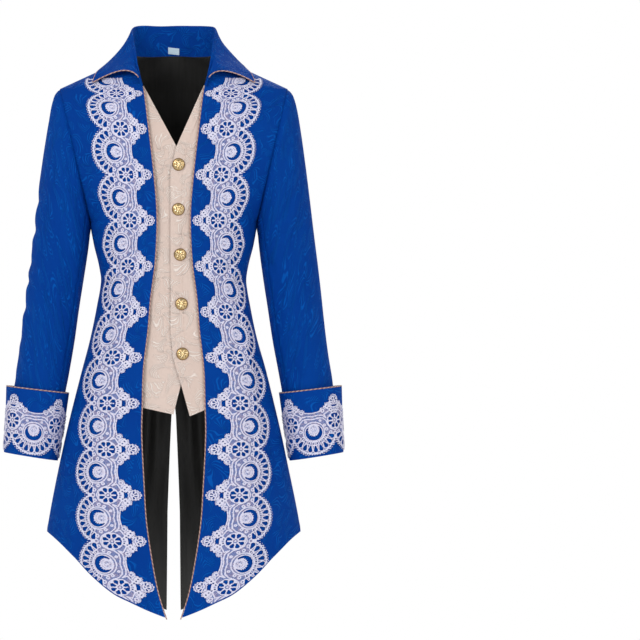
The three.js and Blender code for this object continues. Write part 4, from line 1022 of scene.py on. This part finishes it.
collar = collar_grid()
collar_normal = grid_normal(collar)
collar_down = walk(collar, 1)
collar_along = walk(collar, 0)
fall_share = smooth((np.arange(COLLAR_DEPTHS)[None] - 26) / 30)
ripple = 0.8 * np.sin(collar_along / 31 + 1) + 0.5 * np.sin(collar_along / 17 + collar_down / 19)
stand = 0.5 * np.sin(collar_along / 13 + collar_down / 9) * (1 - fall_share) * smooth(collar_down / 20)
collar_outer = collar + collar_normal * (ripple * fall_share + stand)[..., None]
collar_inner = collar_outer - collar_normal * COLLAR_WALL
collar_uv = np.stack([collar_along - collar_along[COLLAR_MIDDLE], collar_down], -1)
piece = wall_object("collar_cloth", collar_outer, collar_inner, collar_uv, "blue_jacquard", "blue_jacquard")
finish_cloth(piece, "collar", collar_outer, collar_uv)
print("collar", cuts[-1])

# %% [markdown]
# ## Vest front
# The cream vest is only a front, sewn in behind the coat's edges and closed with five buttons.
# Its left half laps over its right half, and both end in a point. The lap's edge is a folded
# facing, a little thicker than the rest, with a row of stitches beside it.

# %% Vest
VEST_LEFT_EDGE = [(-57, 54), (-167, 4.9), (-215, -6), (-495, -5.6), (-544, -1.3), (-596, 14.6), (-648, 29.3)]
VEST_RIGHT_EDGE = [(-57, -54), (-167, 5), (-215, 14), (-570, 16), (-592, 13), (-645, -0.4)]
VEST_TOP, POINT_TOP, LEVEL_ROWS, POINT_ROWS = -57, -540, 110, 40
VEST_COLUMNS, VEST_WALL = 41, 1.3


def vest_point(x, z, inset):
    """A point set in from the coat's front round, for x on either side of the middle."""
    side = np.where(x < 0, -1.0, 1.0)
    turn = turn_at(np.abs(x), z)
    place = body_point(1, turn, z)
    normal = body_normal(1, turn, z)
    flip = np.stack([side, np.ones_like(side), np.ones_like(side)], -1)
    return (place - normal * inset[..., None]) * flip


def vest_grid(side, inset, low, out_low, free_edge):
    """Rows from the neck to the point; the last rows slant so that the end is a point."""
    point = np.linspace(0, 1, POINT_ROWS + 1)[1:]
    levels = np.concatenate([np.linspace(VEST_TOP, POINT_TOP, LEVEL_ROWS), mix(POINT_TOP, low, point)])
    drop = np.concatenate([np.zeros(LEVEL_ROWS), point])[:, None]
    share = np.linspace(0, 1, VEST_COLUMNS)[None]
    z = levels[:, None]
    height = mix(z, mix(z, out_low, share), drop)
    hidden = side * (read(EDGE, z) + 34)
    x = mix(straight(free_edge, z), hidden, share)
    off_edge = np.abs(x - straight(free_edge, z))
    tuck = (0.9 * np.sin(z / 19 + x / 30 * side) + 0.7 * np.sin(z / 41 - x / 17)) * smooth(off_edge / 14)
    ridge = 0.7 * (1 - smooth((off_edge - 16) / 1.5)) if side > 0 else 0
    depth = inset + 0.4 - ridge + 0.35 * (1 + tuck)
    height = height + 0 * x
    return vest_point(x, height, depth), vest_point(x, height, depth + VEST_WALL), np.stack([x, height], -1)


vest = {}
for word, side, inset, low, out_low, free_edge in (
    ("left", 1, 3.5, -648, -622, VEST_LEFT_EDGE), ("right", -1, 6.0, -645, -625, VEST_RIGHT_EDGE)):
    outer, inner, uv = vest_grid(side, inset, low, out_low, free_edge)
    piece = wall_object(f"vest_{word}_cloth", outer, inner, uv, "cream_brocade", "black_lining")
    finish_cloth(piece, f"vest_{word}", outer, uv)
    vest[word] = outer
print("vest", cuts[-2:])

# %% [markdown]
# ## Buttons
# Five cast dome buttons close the vest. A turned blank with a raised beaded rim carries a plain
# leaf rosette in relief. The rosette is a sum of lobes in the angle, so the whole button is one
# height over the radius and the angle.

# %% Buttons
BUTTONS = [(8.8, -200), (8.3, -280), (11.7, -361), (14, -448), (16, -537)]
BUTTON_RADIUS, BUTTON_RINGS, BUTTON_SIDES = 11.2, 34, 96


def button_piece(number, x, z):
    """Height over a disc: dome, plus a rim bead row, plus an eight-lobed rosette that fades out."""
    radius = np.linspace(0.05, 1, BUTTON_RINGS)[:, None] * BUTTON_RADIUS
    angle = np.linspace(0, 2 * math.pi, BUTTON_SIDES + 1)[None, :-1]
    share = radius / BUTTON_RADIUS
    dome = 5.4 * np.sqrt(np.clip(1 - (share * 0.93) ** 2.2, 0, 1))
    lobes = 0.5 + 0.5 * np.cos(8 * angle + 5 * share)
    rosette = 0.75 * lobes * np.exp(-((share - 0.42) / 0.2) ** 2)
    boss = 0.7 * np.exp(-(share / 0.13) ** 2)
    beads = 0.45 * (0.5 + 0.5 * np.cos(32 * angle)) * np.exp(-((share - 0.84) / 0.05) ** 2)
    ring = 0.35 * np.exp(-((share - 0.7) / 0.035) ** 2)
    height = dome + rosette + boss + beads + ring
    raised = np.clip((rosette + boss + beads + ring) / 0.5, 0, 1)

    def circle(radius, height):
        return np.stack([radius * np.cos(angle), radius * np.sin(angle), height + 0 * angle], -1)

    rings = np.concatenate([circle(radius, height - 1.6), circle(11.0, 0.2), circle(9.0, 0.0)])
    points = np.concatenate([rings.reshape(-1, 3), [[0, 0, float(height[0].mean()) - 1.6], [0, 0, 0]]])
    count = rings.shape[0]
    total = count * BUTTON_SIDES
    around = np.arange(BUTTON_SIDES)
    quads = grid_quads(count, BUTTON_SIDES, closed=True)[:, ::-1]
    foot = cap_quads(total + 1, total - BUTTON_SIDES + around, flip=True)
    quads = np.concatenate([quads, cap_quads(total, around), foot])
    z = np.array(float(z))
    turn = turn_at(np.array(x), z)
    normal = body_normal(1, turn, z)
    right = unit(np.cross([0, 0, 1.0], normal))
    up = np.cross(normal, right)
    seat = body_point(1, turn, z) - normal * 2.9
    placed = seat + points[:, :1] * right + points[:, 1:2] * up + points[:, 2:] * normal
    edge = np.full(2 * BUTTON_SIDES, 0.4)
    fields = {"raised": np.concatenate([raised.ravel(), edge, [1, 0.4]])}
    name = f"button_{number}_gold"
    piece = make_object(name, placed, quads, points[:, :2], ["gold_button"], fields=fields, sharp=0)
    return place_piece(piece, f"button_{number}")


for number, (x, z) in enumerate(BUTTONS, 1):
    button_piece(number, x, z)
print("buttons sewn on")

# %% [markdown]
# ## Piping
# A thin satin cord runs in the seam of every free edge: the fronts, the collar's fall and the
# cuffs with their slits. A circle is carried along the edge's own line, with its map measured in
# length and round the cord for the twist.

# %% Piping cords
def tube(node, path, radius, sides=10):
    """A circle of points carried along a path with a frame that doesn't spin, closed by caps."""
    path = np.asarray(path)
    along = unit(np.gradient(path, axis=0))
    across = np.zeros_like(path)
    first = np.cross(along[0], [0.3, 1.0, 0.2])
    across[0] = first / np.linalg.norm(first)
    for k in range(1, len(path)):
        step = across[k - 1] - along[k] * (across[k - 1] @ along[k])
        across[k] = step / np.linalg.norm(step)
    other = np.cross(along, across)
    angle = np.linspace(0, 2 * math.pi, sides + 1)[:-1]
    circle = np.cos(angle)[:, None] * across[:, None] + np.sin(angle)[:, None] * other[:, None]
    rings = path[:, None] + radius * circle
    length = walk(path, 0)
    uv = np.stack(np.broadcast_arrays(length[:, None], angle[None] * radius), -1).reshape(-1, 2)
    points = np.concatenate([rings.reshape(-1, 3), path[[0, -1]]])
    uv = np.concatenate([uv, [[0, 0], [length[-1], 0]]])
    ring = np.arange(sides)
    total = len(path) * sides
    ends = [cap_quads(total, ring, flip=True), cap_quads(total + 1, total - sides + ring)]
    quads = np.concatenate([grid_quads(len(path), sides, closed=True)[:, ::-1]] + ends)
    piece = make_object(f"{node}_cord", points, quads, uv, ["piping"], sharp=0)
    return place_piece(piece, node)


def along_edge(outer, inner, beside, reach):
    """A path beside the middle of an edge, on the far side from the cloth's next line of points."""
    return 0.5 * (outer + inner) - unit(beside - outer) * reach


def three_sides(grid, start=0, depth=0):
    """The line round a grid's first row, last column and last row, or one so many lines inside it."""
    first, last = grid[depth, start:-1], grid[-1 - depth, start:-1][::-1]
    return np.concatenate([first, grid[:, -1 - depth], last])


for word, side in SIDES:
    z = np.linspace(-62.5, -1009, 300)
    turn = edge_turn(z)
    edge = cloth_point(side, turn, z, -0.9)
    beside = cloth_point(side, turn + 0.03, z, -0.9)
    tube(f"piping_front_{word}", along_edge(edge, edge, beside, 1.2), 1.1)
    outer, inner = (np.swapaxes(grid, 0, 1) for grid in cuff_grids[word])
    path = along_edge(three_sides(outer), three_sides(inner), three_sides(outer, depth=1), 1.2)
    tube(f"piping_cuff_{word}", path, 1.1)

FALL_START = 32
lines = [three_sides(collar_outer, FALL_START), three_sides(collar_inner, FALL_START)]
path = along_edge(*lines, three_sides(collar_outer, FALL_START, depth=1), 1.0)
tube("piping_collar", path, 0.95)
print("piping laid")

# %% [markdown]
# ## Lace
# The lace is a band of fans and star rings, joined by a double cord, with a scalloped outer edge
# and fluffy points on the inner side. It is drawn once as a distance field over one repeat: how
# far a place is from the band's edge, from each hole and from each cord. A grid then keeps the
# cells that are thread, its border points slide on to the exact outline, and the cords are
# rounded up. Mirroring and repeating the field gives the whole band.

# %% Lace field
EACH = 81.5
HALF_EACH = EACH / 2
EYE = 60.0
STAR = (HALF_EACH, 49.0)
OVAL = 1.12
FAN_REACH = 48.0
PICOT, PICOT_RING, INNER_RING = 0.105, 46.0, 43.9
SERPENT = [(0, 43), (10, 41.5), (18, 42.5), (24, 48), (27, 56), (32, 63), (HALF_EACH, 66.5)]
LOW_SERPENT = [(x, y - 5) for x, y in SERPENT[:4]] + [(21, 36), (30, 31), (HALF_EACH, 29.5)]
SERPENTS = [SERPENT, LOW_SERPENT, [(HALF_EACH, 26), (33, 24), (27, 21)]]
EYELETS = [(20, 76, 3.6), (HALF_EACH, 72.5, 3.2), (31.5, 69.5, 2.4), (24.0, 63.0, 2.2),
           (20.5, 55.5, 1.8), (13.0, 46.5, 1.5)]


def cone(a, o, start, end, r0, r1):
    """Distance to a rounded cone: to a segment, less a radius that grows along it."""
    d = np.subtract(end, start)
    t = np.clip(((a - start[0]) * d[0] + (o - start[1]) * d[1]) / (d @ d), 0, 1)
    return np.hypot(a - start[0] - t * d[0], o - start[1] - t * d[1]) - mix(r0, r1, t)


def line_distance(a, o, points):
    """Distance to a line of points."""
    return np.min([cone(a, o, p, q, 0, 0) for p, q in zip(points[:-1], points[1:])], axis=0)


def polar(centre, radius, degrees):
    """A point round a centre, turned from straight outwards."""
    turn = np.radians(degrees)
    return centre[0] + radius * np.sin(turn), centre[1] + radius * np.cos(turn)


def lace_field(a, o, bay=34.0, shift=0.0):
    """For places in one repeat, a from its fan's middle and o out from the edge: the distance to
    the thread (negative inside) and the height of the cords, from 0 on the net to 1."""
    a = np.abs(a)
    turn = np.arctan2(a, o - EYE)
    from_eye = np.hypot(a, o - EYE)
    from_star = np.hypot(a - STAR[0], o - STAR[1])
    points = [(HALF_EACH, 12.6, 9.6), (HALF_EACH - 12.5, 23.6, 7.6), (HALF_EACH - 22.0, 30.6, 6.2)]

    def drop(centre, degrees, near, far, narrow, wide):
        """A drop-shaped gap that points at a centre."""
        return cone(a, o, polar(centre, near, degrees), polar(centre, far, degrees), narrow, wide)

    def ring(along, out, radius):
        return np.abs(np.hypot(a - along, o - out) - radius)

    lobes = [bay - 7 * smooth(a / HALF_EACH) - o]
    for along, out, radius in points:
        ripple = 0.7 * np.sin(np.arctan2(a - along, o - out - shift) * 14)
        lobes.append(np.hypot(a - along, o - out - shift) - radius - ripple)
    fringe = 1.3 * np.cos(turn * 2 * math.pi / PICOT)
    to_outer = from_eye - FAN_REACH - fringe
    region = np.maximum(np.where(o > EYE - 8, to_outer, -5.0), np.min(lobes, axis=0))
    rosette = 10.6 + 0.9 * np.sin(turn * 22)
    holes = [np.maximum(np.hypot(a / OVAL, o - 66.5) - 13.6, rosette - np.hypot(a, o - 62))]
    holes += [drop((0, EYE), degrees, 31.5, 37.6, 1.7, 3.9) for degrees in (0, 16, 32, 48, 64)]
    holes += [drop((0, EYE), degrees, 25.2, 26.6, 1.0, 1.2) for degrees in (8, 24, 40, 56)]
    holes += [drop(STAR, degrees - 22.5, 6.0, 10.3, 1.0, 3.2) for degrees in range(-180, 1, 45)]
    holes += [drop((HALF_EACH, 16 + shift), degrees, 4, 6.5, 0.7, 1.3) for degrees in (-157, -112)]
    beside = (turn + PICOT / 2) % PICOT - PICOT / 2
    holes.append(np.hypot(beside * PICOT_RING, from_eye - PICOT_RING) - 1.15)
    hole = np.min(holes, axis=0)
    cords = [np.abs(region + 0.8), np.abs(hole - 0.7), np.abs(from_eye - 7) + 0.2, from_eye * 0.5]
    cords += [np.abs(np.hypot(a / OVAL, o - 65.5) - 17.5), np.abs(from_eye - INNER_RING)]
    cords += [np.abs(from_star - 14), from_star * 0.55]
    cords += [line_distance(a, o, line) for line in SERPENTS]
    cords += [ring(along, out + shift, radius) for (along, out, _), radius in zip(points, (5.2, 4.0, 2.6))]
    cords += [ring(along, out, radius) for along, out, radius in EYELETS]
    cord = np.min(cords, axis=0)
    lash = 0.5 + 0.5 * np.sin(turn * 22)
    lashes = np.where(np.hypot(a, o - 62) < rosette, 0.6 * lash, 0.0)
    height = np.maximum(np.sqrt(np.clip(1 - (cord / 0.85) ** 2, 0, 1)), lashes)
    return np.maximum(region, -hole), height


print("lace field at an eye", [round(float(v), 2) for v in lace_field(np.array(0.0), np.array(60.0))])

# %% [markdown]
# The band follows the front edge and lies on the creased cloth. A table of turns by height and
# distance from the edge is worked out once, and every point of the lace reads its place there.

# %% Lace on the fronts
LACE_START, FIRST_FAN, SHRINK, CELL = -92.0, -95.9, 0.56, 0.95


def edge_table():
    """Turn at each height and distance from the front edge: the arc length walked, inverted."""
    heights = np.arange(6, -1022, -4.0)
    distances = np.arange(0, 150, 2.0)
    rows = []
    for z in heights:
        turn = edge_turn(np.array(z)) + np.linspace(0, 1.2, 160)
        points = body_point(1, np.minimum(turn, math.pi / 2), np.full(160, z))
        rows.append(np.interp(distances, walk(points, 0), np.minimum(turn, math.pi / 2)))
    return heights, distances, np.array(rows)


TABLE_HEIGHTS, TABLE_DISTANCES, TABLE_TURNS = edge_table()


def turn_from_edge(z, distance):
    """The table read between its four nearest values."""
    i = np.clip((TABLE_HEIGHTS[0] - z) / 4, 0, len(TABLE_HEIGHTS) - 1.001)
    j = np.clip(distance / 2, 0, len(TABLE_DISTANCES) - 1.001)
    i0, j0 = i.astype(int), j.astype(int)
    t, u = i - i0, j - j0
    top = mix(TABLE_TURNS[i0, j0], TABLE_TURNS[i0, j0 + 1], u)
    return mix(top, mix(TABLE_TURNS[i0 + 1, j0], TABLE_TURNS[i0 + 1, j0 + 1], u), t)


def lace_height(along):
    """Height of a place along the band, whose first repeat is drawn together."""
    return FIRST_FAN - np.where(along < 0, along * SHRINK, along)


def widened(out, z):
    """The band grows wider towards the hem: its inner edge stays and its eye and fans move out."""
    grown = 19 * smooth((-420 - z) / 190)
    return out + grown * np.where(out < EYE, out / EYE, 1 + 0.4 * (out - EYE) / FAN_REACH)


def lace_mesh(along, out, field, place, lift):
    """Keeps the thread cells of a grid, slides border points on to the outline, and lifts cords."""
    step = 0.05
    value, height = field(along, out)
    right, _ = field(along + step, out)
    up, _ = field(along, out + step)
    slope = np.stack([right - value, up - value], -1) / step
    size = np.maximum((slope ** 2).sum(-1), 0.3)
    near = np.abs(value) < 0.75 * CELL
    move = np.where(near, -value / size, 0)
    move = np.clip(move, -0.7 * CELL, 0.7 * CELL)
    along = along + move * slope[..., 0]
    out = out + move * slope[..., 1]
    quads = grid_quads(*value.shape)
    inside = (value < 0.3 * CELL).ravel()
    quads = quads[inside[quads].all(1)]
    quads = quads[(value.ravel()[quads].mean(1) < 0)]
    used, quads = np.unique(quads, return_inverse=True)
    along, out, height = (values.ravel()[used] for values in (along, out, height))
    points = place(along, out, lift + 0.9 * height)
    return points, quads.reshape(-1, 4), np.stack([along, out], -1), height


def face_outwards(points, quads, normal):
    """Turns all faces round where they point into the cloth."""
    a, b, c = (points[quads[:, k]] for k in (0, 1, 3))
    facing = np.sum(np.cross(b - a, c - a) * normal[quads[:, 0]])
    return quads if facing > 0 else quads[:, ::-1]


def finish_lace(node, points, quads, uv, height, normal):
    """Puts a lace band in place of its solid and notes its cut; its area is that of the thread and the net.
    """
    quads = face_outwards(points, quads, normal)
    piece = make_object(f"{node}_thread", points, quads, uv, ["lace"], fields={"cord": height}, sharp=0)
    place_piece(piece, node)
    a, b, c, d = (points[quads[:, k]] for k in range(4))
    area = 0.5 * MM * MM * float(np.linalg.norm(np.cross(c - a, d - b), axis=-1).sum())
    width, length = float(np.ptp(uv[:, 1])) * MM, float(np.ptp(uv[:, 0])) * MM
    cuts.append((node, round(width, 3), round(length, 3), round(area, 4)))
    return len(quads) * 2


def front_lace(side, word):
    """The repeats down one front, cut off above the hem and below the collar."""
    along, out = np.meshgrid(np.arange(LACE_START, 925, CELL), np.arange(0, 111, CELL), indexing="ij")

    def field(along, out):
        folded = (along + EACH / 2) % EACH - EACH / 2
        thread, height = lace_field(folded, out)
        z = lace_height(along)
        turn = turn_from_edge(z, widened(out, z))
        thread = np.maximum(thread, hem_height(turn) + 2.5 - z)
        thread = np.maximum(thread, LACE_START + 1 - along)
        return thread, height

    def place(along, out, lift):
        z = lace_height(along)
        return cloth_point(side, turn_from_edge(z, widened(out, z)), z, lift)

    points, quads, uv, height = lace_mesh(along, out, field, place, 0.8)
    z = lace_height(uv[:, 0])
    normal = body_normal(side, turn_from_edge(z, widened(uv[:, 1], z)), z)
    return finish_lace(f"lace_front_{word}", points, quads, uv, height, normal)


for word, side in SIDES:
    print("lace front", word, front_lace(side, word), "triangles")

# %% Lace on the cuffs
def cuff_lace(side, word):
    """The same field with its fans pointing down, four round the cuff between the slit's edges."""
    around = 2 * math.pi * CUFF_RADIUS
    each = around / 4
    limit = around / 2 - SLIT_HALF - 7
    along, out = np.meshgrid(np.arange(-limit, limit + CELL, CELL), np.arange(0, 118, CELL), indexing="ij")

    def field(along, out):
        folded = ((along + each / 2) % each - each / 2) * EACH / each
        thread, height = lace_field(folded, out - 9, bay=31.0, shift=-1.0)
        thread = np.maximum(thread, np.abs(along) - limit)
        return np.maximum(thread, out - 115), height

    def spot(along, out):
        return 1 - out / CUFF_TALL, math.pi / 2 + along / CUFF_RADIUS

    def place(along, out, lift):
        up, arm = spot(along, out)
        raised = cuff_relief(side, up, arm) - cuff_roll(up) + lift
        return cuff_point(side, up, arm) + cuff_normal(side, up, arm) * raised[:, None]

    points, quads, uv, height = lace_mesh(along, out, field, place, 0.7)
    normal = cuff_normal(side, *spot(uv[:, 0], uv[:, 1]))
    return finish_lace(f"lace_cuff_{word}", points, quads, uv, height, normal)


for word, side in SIDES:
    print("lace cuff", word, cuff_lace(side, word), "triangles")

# %% [markdown]
# ## Size tab and stitches
# A bare woven tab sits in the neck seam. The lap of the vest is sewn down with a row of fine
# stitches, each a small rounded bar lying on the cloth.

# %% Size tab
def size_tab():
    """A small rectangle on the collar's stand, slightly tilted and bowed."""
    x, t = np.meshgrid(np.linspace(-10, 10, 25), np.linspace(0, 1, 13))
    height = mix(4, 16, t) - 0.11 * x
    stand = collar_outer[COLLAR_MIDDLE]
    y = np.interp(height, stand[:20, 2], stand[:20, 1])
    bow = 0.011 * x ** 2 + 0.35 * np.sin(t * math.pi)
    outer = np.stack([x, y - bow - 1.0, height], -1)
    inner = outer + [0, 0.6, 0]
    uv = np.stack([x, height], -1)
    piece = wall_object("label_tape", outer, inner, uv, "label_cloth", "label_cloth")
    return finish_cloth(piece, "label", outer, uv)


size_tab()
print("tab", cuts[-1])

# %% Stitches on the vest
def stitches(name, path, normal, length=2.6, radius=0.35):
    """Rows of small six-sided bars along a path, each lying on the cloth."""
    walked = walk(path, 0)
    middle = np.arange(2, walked[-1] - 2, 4.0)

    def between(values, at):
        return np.stack([np.interp(at, walked, values[:, k]) for k in range(3)], -1)

    centre = between(path, middle)
    out = unit(between(normal, middle))
    along = unit(between(path, middle + 0.5) - centre)
    across = np.cross(along, out)
    s = np.array([-0.5, -0.38, 0.38, 0.5]) * length
    r = np.array([0.35, 1, 1, 0.35]) * radius
    angle = np.linspace(0, 2 * math.pi, 7)[:-1]
    ring = np.cos(angle)[:, None] * across[:, None, None] + np.sin(angle)[:, None] * out[:, None, None]
    points = centre[:, None, None] + s[:, None, None] * along[:, None, None] + r[:, None, None] * ring
    ends = [[0, 1, 2, 3], [0, 3, 4, 5], [21, 20, 19, 18], [23, 22, 21, 18]]
    one = np.concatenate([grid_quads(4, 6, closed=True), ends])
    quads = (one[None] + 24 * np.arange(len(middle))[:, None, None]).reshape(-1, 4)
    flat = points.reshape(-1, 3)
    return make_object(name, flat, quads, flat[:, [0, 2]], ["cream_brocade"], sharp=0)


lap = vest["left"]
lap_normal = -grid_normal(lap)
lap_normal = lap_normal * np.where(lap_normal[..., 1:2] > 0, -1, 1)
STITCH_ROWS, STITCH_COLUMN = slice(6, 108), 11
out = lap_normal[STITCH_ROWS, STITCH_COLUMN]
row = stitches("vest_lap_stitches", lap[STITCH_ROWS, STITCH_COLUMN] + 0.2 * out, out)
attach(row, "root")
print("stitches", len(row.data.polygons) // 28)

# %% [markdown]
# ## Studio
# The coat hangs over a round pale floor in front of plain white. Large soft lights from above
# left, right and behind keep the shadows open, as in a catalogue picture. The sky is white to the
# camera and weaker as a light, so the cloth keeps its depth.

# %% Floor and lights
FLOOR = -1.30
FLOOR_RINGS, FLOOR_SIDES = 24, 96
radius = np.linspace(0.02, 3.2, FLOOR_RINGS)[:, None] / MM
angle = np.linspace(0, 2 * math.pi, FLOOR_SIDES + 1)[None, :-1]
disc = np.stack([radius * np.cos(angle), radius * np.sin(angle), 0 * radius * angle + FLOOR / MM], -1)
disc = disc.reshape(-1, 3)
material, tree, shader = new_material("pale floor", Roughness=0.9)
mottle = noise(tree, object_place(tree), 3.0, 2.0)
feed(shader, Base_Color=blend(tree, mottle, (0.93, 0.93, 0.93, 1), (0.96, 0.96, 0.96, 1)))
materials["pale_floor"] = material
rings = grid_quads(FLOOR_RINGS, FLOOR_SIDES, closed=True)
floor = make_object("floor", disc, rings, disc[:, :2], ["pale_floor"], sharp=0)


def soft_light(name, place, target, size, watts):
    """A round lamp that shines from its place towards a target."""
    lamp = bpy.data.lights.new(name, "AREA")
    lamp.shape = "DISK"
    lamp.size = size
    lamp.energy = watts
    item = bpy.data.objects.new(name, lamp)
    bpy.context.scene.collection.objects.link(item)
    item.location = place
    way = np.array(place) - np.array(target)
    flat = math.hypot(way[0], way[1])
    item.rotation_euler = (math.atan2(flat, way[2]), 0, math.atan2(way[0], -way[1]))
    return item


soft_light("key_light", (-2.2, -3.2, 1.6), (0, 0, -0.4), 1.6, 62)
soft_light("fill_light", (2.6, -2.8, 0.6), (0, 0, -0.5), 2.0, 30)
soft_light("back_light", (0.5, 2.6, 1.8), (0, 0.3, -0.4), 1.6, 34)
world = bpy.data.worlds.new("studio")
world.use_nodes = True
sky = world.node_tree
ray = sky.nodes.new("ShaderNodeLightPath")
strength = sky.nodes.new("ShaderNodeMapRange")
set_inputs(strength, {0: ray.outputs["Is Camera Ray"], 3: 0.55, 4: 1.0})
feed(sky.nodes["Background"], Strength=strength.outputs[0], Color=(1, 1, 1, 1))
bpy.context.scene.world = world
bpy.context.scene.view_settings.view_transform = "Standard"
print("studio lit")

# %% [markdown]
# ## Cuts
# The solids stay in the scene, hidden, and each cut's width, length and area are printed.

# %% Finish
for cut in cuts:
    print("cut", *cut)
